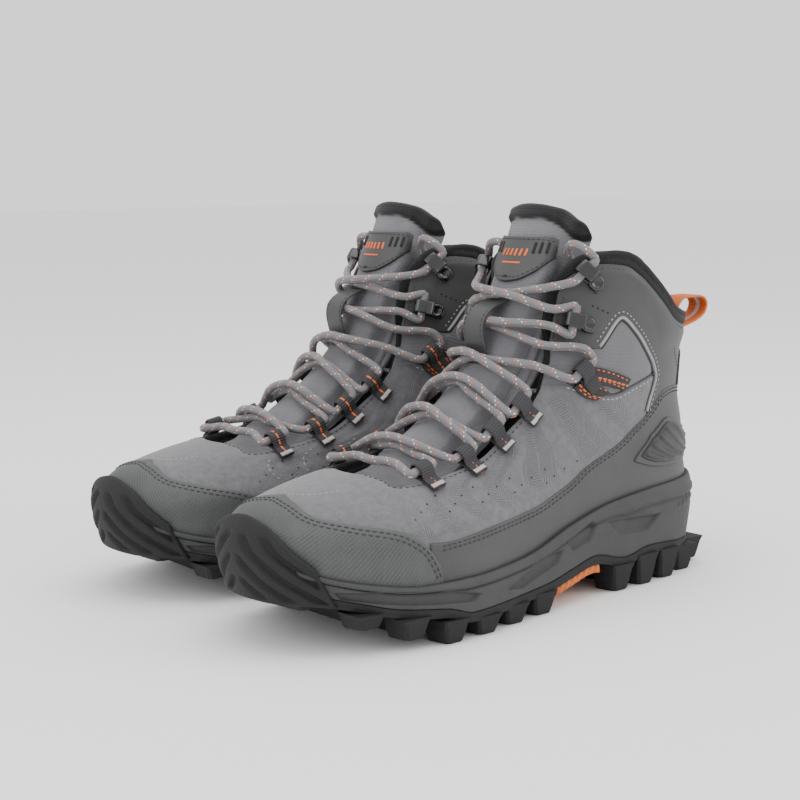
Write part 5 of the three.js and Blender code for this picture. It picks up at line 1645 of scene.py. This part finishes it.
@dataclass
class Collar:
    """Padded fleece lining with its rolled edge, and the knit band outside it."""

    around: int = 360
    knit_steps: int = 520
    band: tuple[Place, ...] = ((0.6, 6), (0.8, 6), (1, 5), (1.4, 6), (2.2, 6.5), (3.2, 7))

    def lining(self) -> Patch:
        """A ring whose section runs up outside, over the roll and down inside to the foot.

        The roll is half an ellipse between the two faces; below it both faces follow the last.
        """
        columns = list(LINING_EDGE) + [(TURN - a, TURN - b, z) for a, b, z in LINING_EDGE[-2::-1]]
        fine = rail(columns, self.around + 1, (PLACE_MM[0], *PLACE_MM))[:-1]
        low, phi, top = (fine[:, k:k + 1] for k in range(3))
        turned = from_toe(phi)
        floor = station(from_toe(low))[1] + GAP * 3 + BOARD
        tall = easy((top - 104) / 26)
        roll = easy((turned - 0.62) / 0.16) * tall
        band = mix(0.8, monotone(self.band, turned), tall)
        up = np.concatenate([np.linspace(0, 0.9, 22), np.linspace(0.92, 1, 6)])[None, :]
        wall_top = top - band
        z_up = mix(floor, wall_top, up)
        side = easy((z_up - (wall_top - 9)) / 9) * roll
        where = mix(low, phi, (z_up - floor) / (top - floor))
        tw = from_toe(where)
        outer = mix(lining_out(tw, z_up), 0.5, side)
        thick = LINING - 1.4 * on_instep(tw, z_up)
        swell = 3.0 * easy((z_up - (wall_top - 20)) / 20) * roll
        inner = mix(lining_out(tw, z_up), LINING_OUT, side) - thick - swell
        arc = np.linspace(0, math.pi, 14)[None, 1:-1]
        out_end, in_end = outer[:, -1:], inner[:, -1:]
        middle, half = (out_end + in_end) / 2, (out_end - in_end) / 2
        z_arc = wall_top + band * np.sin(arc)
        off_arc = middle + half * np.cos(arc) * (1 + 0.12 * roll * np.sin(arc))
        where_arc = np.broadcast_to(phi, z_arc.shape)
        z = np.concatenate([z_up, z_arc, z_up[:, ::-1]], 1)
        off = np.concatenate([outer, off_arc, inner[:, ::-1]], 1)
        w = np.concatenate([where, where_arc, where[:, ::-1]], 1)
        loop = LAST.at(w, z, off)
        return grid_patch(np.concatenate([loop, loop[:, :1]], 1), True)

    def knit(self) -> Patch:
        """Two rolls of knit between the cuff's top edge and the fleece, over the ankle only."""
        fine = rail(ring_path(CUFF_TOP[2:]), self.knit_steps, PLACE_MM)
        phi, z = fine[:, 0], fine[:, 1]
        k = np.arange(self.knit_steps)
        taper = easy(np.minimum(k, k[::-1]) / 40)
        rolls = []
        for lift, width in ((1.6, 4.4), (4.9, 3.6)):
            line = LAST.at(phi, z + lift * (0.4 + 0.6 * taper), -0.9)
            shape = outline_ellipse(1.0, 1.0, 10)[None] * np.stack(
                [width * (0.35 + 0.65 * taper), 3.2 * (0.4 + 0.6 * taper)], 1)[:, None, :]
            rolls.append(swept(line, LAST.outward(phi, z), shape))
        return merged(rolls)

    def footbed(self) -> Patch:
        """Soft footbed: a dished sheet with a thick rounded rim."""
        phi = np.linspace(0.004, math.pi - 0.004, 150)
        inset = LINING_OUT - LINING - COUNTER - GAP - 4.4
        _, floor, _, _ = station(phi)
        low = GAP * 5 + BOARD
        cup = 3.5 * easy((phi - 1.7) / 0.8)
        share = crowded(41, 1.5)

        def sheet(up: Array, rise: Array, tuck: float) -> Array:
            z = floor + up
            body = spanned(LAST.at(-phi, z, inset - tuck), LAST.at(phi, z, inset - tuck), share)
            dish = np.abs(share[None, :]) ** 3
            body[..., 2] = (z + 0.3 * rise)[:, None] + (0.7 * rise)[:, None] * dish
            return body

        over, under = sheet(low + INSOLE, cup, 0.4), sheet(low + 0.1, 0 * cup, 0.8)
        return sheet_solid(over[:, ::-1], under[:, ::-1])

    def build(self, boots: Sequence[Boot]) -> None:
        """Makes and dresses the collar and the footbed."""
        lining, knit, footbed = self.lining(), self.knit(), self.footbed()
        for boot in boots:
            fleece = boot.make("collar_fleece", lining, Finishes.fleece.material(),
                               replaces=("collar_lining",))
            boot.make("collar_knit", knit, Finishes.knit.material())
            bed = boot.make("footbed_pad", footbed, Finishes.footbed.material(), body="footbed",
                            replaces=("insole",))


# ---- tongue -----------------------------------------------------------------------------------
TONGUE_MID = -3.0
TONGUE_SIDE = LINING_OUT - LINING - 1.2


def tongue_out(phi: Array, z: Array) -> Array:
    """How far the tongue's face is off the last."""
    turned = np.abs(phi)
    side, front = easy((turned - 0.44) / 0.2), easy((79 - z) / 4)
    deep = easy((z - 140) / 15) * 7.6 * easy((turned - 0.5) / 0.2)
    return mix(TONGUE_MID, TONGUE_SIDE, np.maximum(side, front)) - deep


@dataclass
class Tongue:
    """Padded tongue with its fleece roll, binding, badge and the strap that keeps the lace."""

    low: tuple[Place, ...] = ((0, 71.2), (0.2, 71), (0.4, 70.4), (0.56, 70), (0.66, 70.5),
                              (0.74, 72))
    top: tuple[Place, ...] = ((0, 195.5), (0.2, 195), (0.4, 193.5), (0.6, 191), (0.78, 187),
                              (0.93, 179))
    split: tuple[Place, ...] = ((0, 152), (0.2, 152), (0.4, 152.5), (0.56, 156), (0.7, 167),
                                (0.92, 171))
    grid: int = 120
    bow: float = LACE_D * 2 + 2.2

    def body(self) -> Patch:
        """The whole pad in one sheet: quilted rolls across it, thinner at its sides and its rim."""
        columns = [(a, z, b, y, c, h)
                   for (a, z), (b, y), (c, h) in zip(self.low, self.split, self.top)]
        table = np.array([(-a, z, -b, y, -c, h) for a, z, b, y, c, h in columns[:0:-1]] + columns)
        fine = rail(table, self.grid, PLACE_MM * 3)
        v = np.linspace(0, 1, self.grid)[None, :]
        lower, upper = np.clip(v / 0.64, 0, 1) ** 1.2, np.clip((v - 0.64) / 0.36, 0, 1)
        phi = mix(fine[:, :1], fine[:, 2:3], lower) + (fine[:, 4:5] - fine[:, 2:3]) * upper
        z = mix(fine[:, 1:2], fine[:, 3:4], lower) + (fine[:, 5:6] - fine[:, 3:4]) * upper
        turned = np.abs(phi)
        # Distance to the rim in mm: the pad is about 120 long and 55 from its middle to a side.
        rim = np.minimum((1 - v) * 120, (1 - np.abs(np.linspace(-1, 1, self.grid)))[:, None] * 55)
        round_off = round_over(rim, 3.2)
        thick = (TONGUE_PAD + 0.6) * (1 - 0.55 * easy((turned - 0.5) / 0.4))
        quilt = 0.7 * np.abs(np.sin((z - 84) * math.pi / 15.5)) ** 0.6
        quilt = quilt * easy((rim - 2) / 6) * easy((0.55 - turned) / 0.1)
        roll = 2.4 * easy((z - 186 + 8 * easy((turned - 0.3) / 0.5)) / 3)
        off = tongue_out(phi, z) - 0.5 * thick * round_off
        off = off + 0.6 * (quilt - 0.6) * easy((rim - 2) / 4) + roll * (1 - round_off)
        under = tongue_out(phi, z) - thick + 0.5 * thick * round_off
        outer, inner = LAST.at(phi, z, off), LAST.at(phi, z, under)
        black = easy((z - (186.6 - 9.5 * easy((turned - 0.2) / 0.7))) / 0.8)
        return sheet_solid(outer, inner, marks={"black": black})

    def gusset(self, side: int) -> Patch:
        """Folded cloth between the tongue's side and the collar lining."""
        z = np.linspace(80, 150, 60)[:, None]
        t = np.linspace(0, 1, 24)[None, :]
        turned = mix(0.62, 0.8, t) + 0 * z
        wave = np.sin(t * TURN + 0.04 * z) * np.sin(t * math.pi)
        off = mix(-6.2, -8.6, t) + wave - 0.02 * np.maximum(z - 130, 0)
        outer = LAST.at(side * turned, z + 0 * t, off)
        inner = LAST.at(side * turned, z + 0 * t, off - 0.8)
        if side > 0:
            outer, inner = outer[::-1], inner[::-1]
        return sheet_solid(outer, inner)

    def badge(self) -> tuple[Patch, list[Patch], list[Patch], list[Patch]]:
        """Leather badge with its slots as dark bars of painted shade, its seams and a plain
        two-line motif.
        """
        columns = [(0, 156.5, 0, 178), (0.2, 157.5, 0.2, 178), (0.36, 160.5, 0.36, 178),
                   (0.48, 164.5, 0.48, 178), (0.56, 169, 0.54, 177)]
        phi, z, _, d = Panel(across_toe(columns), 1.9, 1.4, 0.6, 120, 40).grid()
        off = tongue_out(phi, z) + 1.9 - 0.6 * round_over(d, 0.6)
        slots = [(side * p, 172.5) for side in (1, -1) for p in (0.3, 0.38, 0.46)]
        patch = sheet_solid(LAST.at(phi, z, off), LAST.at(phi, z, tongue_out(phi, z) + 0.5))

        def bar(p: float, z0: float, z1: float, p1: float | None = None,
                width: float = 1.6) -> Patch:
            line = np.linspace((p, z0), (p if p1 is None else p1, z1), 8)
            up = tongue_out(line[:, 0], line[:, 1]) + 1.95
            return swept(*on_last(line, up), outline_ellipse(width, 0.5, 10, 3.0))

        # Painted shade: dark bars stand for the shade in the slots, with one short dark bar below
        # them.
        dark = [bar(p, h - 2.6, h + 2.6) for p, h in slots] + [bar(-0.03, 158.8, 158.8, 0.03, 1.2)]
        orange = [bar(p, 168.6, 172.0, p + 0.012, 1.3) for p in np.linspace(-0.2, 0.2, 6)]
        orange.append(bar(-0.17, 165.4, 165.4, 0.17, 0.9))
        rim = [(0, 176.7), (0.3, 176.6), (0.52, 175.8)]
        lower = [(0.15, 158.6), (0.3, 160.8), (0.44, 164.4), (0.5, 167.2)]
        thread = []
        for path in (mirror_path(rim[:0:-1]) + rim, mirror_path(lower[::-1]) + lower):
            fine = rail(path, 60, PLACE_MM)
            up = tongue_out(fine[:, 0], fine[:, 1]) + 1.9
            thread.append(stitches(*on_last(fine, up), Threads.badge))
        return patch, dark, orange, thread

    def keeper(self) -> tuple[Patch, Patch]:
        """Strap over the tongue that the lace crosses under, and its stitch rows."""
        v = np.linspace(0, 1, 70)
        bow = np.sin(math.pi * np.clip((v - 0.1) / 0.8, 0, 1)) ** 0.85
        z = mix(118.0, 150.5, v)
        line = LAST.at(0 * z, z, TONGUE_MID + GAP + self.bow * bow + 0.65)
        out, side = LAST.outward(0 * z, z), unit(LAST.along(0 * z, z))
        strap = swept(line, out, outline_ellipse(KEEPER_WIDTH, 1.4, 20, 6.0))
        inside = slice(8, -8)  # the rows stop short of the strap's ends
        rows = [stitches((line + side * KEEPER_WIDTH * share)[inside] + out[inside] * 0.7,
                         out[inside], Threads.keeper) for share in (-0.42, 0.42)]
        return strap, merged(rows)

    def build(self, boots: Sequence[Boot]) -> None:
        """Makes and dresses the tongue's pieces."""
        body = self.body()
        badge, dark, orange, thread = self.badge()
        strap, rows = self.keeper()
        folds = {side: self.gusset(sign) for side, sign in (("lateral", 1), ("medial", -1))}
        for boot in boots:
            pad = boot.make("tongue_pad", body, Finishes.tongue.material(), ride=False,
                            replaces=("tongue", "tongue_flap"))
            start, end = (boot.place(np.array(p, float)) for p in ((0, 6, 143), (0, 14, 161)))
            boot.own("boot")
            boot.own("tongue_top")
            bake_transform(pad)
            top = {"body": "tongue_top"}
            boot.make("badge_leather", badge, Finishes.smooth.material(),
                      replaces=("tongue_badge",), **top)
            boot.make("badge_slot_shade", merged(dark), Finishes.shadow.material(), **top)
            boot.make("badge_motif", merged(orange), Finishes.orange_thread.material(), **top)
            boot.make("badge_seams", merged(thread), Finishes.dark_thread.material(), **top)
            boot.make("keeper_strap", strap, Finishes.smooth.material(), replaces=("lace_keeper",))
            boot.make("keeper_seams", rows, Finishes.dark_thread.material())
            for side, patch in folds.items():
                boot.make(f"gusset_{side}", patch, Finishes.ripstop.material())


# ---- webbing, hooks, pull loop and heel clip --------------------------------------------------
@dataclass
class Fittings:
    """Lace loops, ankle straps, hooks with their rivets, the pull loop and the heel clip."""

    tape_top: float = 2.5  # how far the loops' upper face is off the last, mm

    def band(self, here: FlatMap, path: Sequence[Place], width: float, thick: float) -> Patch:
        """A flat tape whose middle line is a path of (a, off) in a flat map."""
        line = rail(path, 70)
        a, off = line[:, 0], line[:, 1]
        left, right = here(a, 0 * a - width / 2, off), here(a, 0 * a + width / 2, off)
        middle = (left + right) / 2
        normal = np.cross(np.gradient(middle, axis=0), right - left)
        slab = outline_ellipse(width, thick, 16, 5.0)
        return swept(middle, normal, slab)

    def loop(self, spot: Spot, side: int, tail: float, layer: float) -> Patch:
        """One folded loop: out along the upper, round the lace and back."""
        here = flat_at(spot, side)
        r = LOOP_HOLE + WEB_THICK / 2
        rise = layer + WEB_THICK * 0.5
        path = [(tail, rise + WEB_THICK + 0.3), (6, rise + WEB_THICK + 0.4)]
        path += [(r * math.cos(math.radians(g)), LACE_OFF + r * math.sin(math.radians(g)))
                 for g in (55, 100, 150, 205, 255, 300)]
        path += [(6, rise), (tail, rise)]
        return self.band(here, path, WEB_WIDTH, WEB_THICK)

    def tack(self, spot: Spot, side: int, tail: float, up: float) -> Patch:
        """Zigzag bar of pale thread at a loop's foot."""
        here = flat_at(spot, side)
        b = np.repeat(np.linspace(-WEB_WIDTH / 2 + 0.6, WEB_WIDTH / 2 - 0.6, 13), 4)
        a = tail - 1.8 + 1.1 * np.where(np.arange(len(b)) // 2 % 2, 1.0, -1.0)
        line = even_steps(here(a, b, np.full(len(b), up)), 0.5)
        out = np.tile(LAST.outward(side * spot[0], spot[1]), (len(line), 1))
        return swept(line, out, outline_ellipse(0.7, 0.6, 6))

    def webbing(self, side: int) -> tuple[Patch, Patch, Patch, Patch]:
        """Loops; the tape and the ankle straps; the pale tacks; the orange dashes."""
        loops = [self.loop(spot, side, 12, 0.3) for spot in LOOPS]
        loops.append(self.loop(ANKLE_LOOP, side, 13, 0.9))
        straps = []
        for low, high in ((((1.14, 108.0), (1.3, 106.6), (1.46, 104.2), (1.61, 101.5)),
                           ((1.16, 115.6), (1.3, 113.8), (1.48, 110.5), (1.63, 107))),
                          (((1.14, 105.4), (1.24, 101.6), (1.32, 99.4), (1.4, 98.2)),
                           ((1.24, 110.8), (1.34, 106.2), (1.42, 103.4), (1.48, 101.5)))):
            columns = [(side * a, b, side * c, d) for (a, b), (c, d) in zip(low, high)]
            columns = columns if side > 0 else columns[::-1]
            straps.append(Panel(columns, 1.7, 1.3, 0.4, 60, 16).patch())
        tacks = [self.tack(spot, side, 12, self.tape_top) for spot in LOOPS]
        dashes = []
        for path in (((1.2, 114.0), (1.38, 111.4), (1.6, 106.4)),
                     ((1.2, 109.5), (1.38, 107.2), (1.6, 102.6)),
                     ((1.22, 108.4), (1.33, 104.9), (1.45, 102.2)),
                     ((1.18, 104.8), (1.28, 101.2), (1.39, 99.0))):
            dashes.append(seam([(side * p, z) for p, z in path], 0.0, 1.75, Threads.strap))
        a = np.linspace(2.5, 9.5, 24)
        for spot in LOOPS:
            line = flat_at(spot, side)(a, 0 * a, self.tape_top + 0 * a)
            out = np.tile(LAST.outward(side * spot[0], spot[1]), (len(a), 1))
            dashes.append(stitches(line, out, Threads.loop))
        return merged(loops), merged(straps), merged(tacks), merged(dashes)

    def hook(self, side: int, spot: Spot) -> Patch:
        """Hook bent from one plate: base, rounded back, top lip over the lace."""
        here = flat_at(spot, side)
        mid = HOOK_SEAT + HOOK_PLATE / 2
        path = [(8.4, mid), (2, mid), (-5.4, mid), (-6.9, mid + 0.7), (-7.3, mid + 2.2),
                (-7.3, mid + HOOK_RISE - 3.7), (-6.9, mid + HOOK_RISE - 2.2),
                (-5.4, mid + HOOK_RISE - 1.5),
                (-2, mid + HOOK_RISE - 1.5), (0.4, mid + HOOK_RISE - 1.0),
                (1.2, mid + HOOK_RISE - 0.4)]
        return self.band(here, path, HOOK_WIDTH, HOOK_PLATE)

    def rivet(self, side: int, spot: Spot) -> Patch:
        """Round rivet head: rings from its seat over a soft shoulder to its dished middle."""
        here = flat_at(spot, side)
        seat = HOOK_SEAT + HOOK_PLATE
        rings = [(RIVET_R, seat - 0.2), (RIVET_R, seat + 0.8), (RIVET_R - 0.35, seat + 1.35),
                 (RIVET_R - 1.1, seat + 1.7), (RIVET_R - 1.7, seat + 1.6),
                 (RIVET_R - 2.0, seat + 1.15), (0.6, seat + 1.1), (0.02, seat + 1.1)]
        angle = np.linspace(0, TURN, 28, endpoint=False)[:, None]
        r, h = np.array(rings).T[:, None, :]
        points = here(4.2 + r * np.cos(angle), r * np.sin(angle), h + 0 * angle)
        base = here(4.2 + 0.02 * np.cos(angle), 0.02 * np.sin(angle), seat - 0.2 + 0 * angle)
        return grid_patch(np.concatenate([base, points], 1), True, side)

    def pull(self) -> Patch:
        """Pull loop of webbing behind the heel."""
        path = rail([(132.8, 124.4), (139, 125.6), (150, 128.6), (156.6, 132.4), (158.2, 136.6),
                     (155.6, 140.2), (151, 141.2), (141, 141.2), (135.4, 137.8), (133, 133)], 120)
        line = np.stack([0 * path[:, 0], path[:, 0], path[:, 1]], 1)
        tangent = unit(np.gradient(line, axis=0))
        normal = np.cross(np.array([1.0, 0.0, 0.0]), tangent)
        return swept(line, normal, outline_ellipse(PULL_WIDTH, 1.5, 20, 7.0))

    def clip(self) -> tuple[Patch, Patch]:
        """Ribbed heel clip and the leather border round it."""
        edges = [(66, 74), (61.5, 81), (60, 79.5), (59.5, 76), (60.5, 73), (62, 71), (63, 70)]
        phis = [2.12, 2.25, 2.38, 2.52, 2.68, 2.86, math.pi]
        columns = [(p, a, p, b) for p, (a, b) in zip(phis, edges)]

        def relief(phi: Array, z: Array, v: Array, d: Array) -> Array:
            ribs = ridges(z + 34 * from_toe(phi), 4.6, 0.5)
            return 0.9 * ribs * easy((d - 0.8) / 1.2) - 0.5

        body = Panel(across_heel(columns), 3.0, 1.8, 0.8, 240, 44).patch(relief)
        wide = [(p, a - 2.2, p, b + 2.2) for p, a, _, b in columns]
        wide[0] = (phis[0] - 0.03, wide[0][1], phis[0] - 0.03, wide[0][3])
        border = Panel(across_heel(wide), 1.7, 1.0, 0.7, 200, 20).patch()
        return body, border

    def back_strip(self) -> Patch:
        """Black piece across the heel over the rand's top edge."""
        columns = [(2.5, 97.5, 2.5, 114), (2.7, 96.5, 2.7, 116.5), (math.pi, 96, math.pi, 117)]
        return Panel(across_heel(columns), 1.3, 1.0, 0.7, 120, 26).patch()

    def build(self, boots: Sequence[Boot]) -> None:
        """Makes and dresses the fittings."""
        webs = {name: self.webbing(sign) for name, sign in (("lateral", 1), ("medial", -1))}
        pull, (clip, border), strip = self.pull(), self.clip(), self.back_strip()
        for boot in boots:
            gloss = Finishes.gloss.material()
            for name, (loops, straps, tacks, dashes) in webs.items():
                sign = 1 if name == "lateral" else -1
                boot.make(f"lace_loops_{name}", loops, Finishes.webbing.material(),
                          replaces=(f"webbing_{name}",))
                boot.make(f"ankle_straps_{name}", straps, Finishes.strap.material())
                boot.make(f"bar_tacks_{name}", tacks, Finishes.light_thread.material())
                boot.make(f"strap_dashes_{name}", dashes, Finishes.orange_thread.material())
                for level, spot in HOOKS.items():
                    boot.make(f"hook_{level}_{name}_plate", self.hook(sign, spot), gloss,
                              replaces=(f"hook_{level}_{name}",))
                    boot.make(f"rivet_{level}_{name}_head", self.rivet(sign, spot), gloss,
                              replaces=(f"rivet_{level}_{name}",))
            boot.make("pull_webbing", pull, Finishes.pull.material(), body="heel_pull",
                      replaces=("pull_loop",))
            boot.make("heel_clip_shell", clip, Finishes.black.material(), replaces=("heel_clip",))
            boot.make("heel_clip_border", border, Finishes.smooth.material())
            boot.make("heel_strip", strip, Finishes.black.material())
            board = Finishes.board.material()
            for part in ("heel_counter", "lasting_board"):
                node = bpy.data.objects[boot.own(part)]
                node.data.materials.clear()
                node.data.materials.append(board)


def main() -> None:
    """Builds the scene: camera and lace first, then the sole, the upper and the fittings."""
    logging.basicConfig(level=logging.INFO, format="%(name)s: %(message)s")
    studio = Studio()
    studio.camera()
    Lace().build(BOOTS)
    SoleUnit().build(BOOTS)
    Upper().build(BOOTS)
    Collar().build(BOOTS)
    Tongue().build(BOOTS)
    Fittings().build(BOOTS)
    studio.room()


if __name__ == "__main__":
    main()
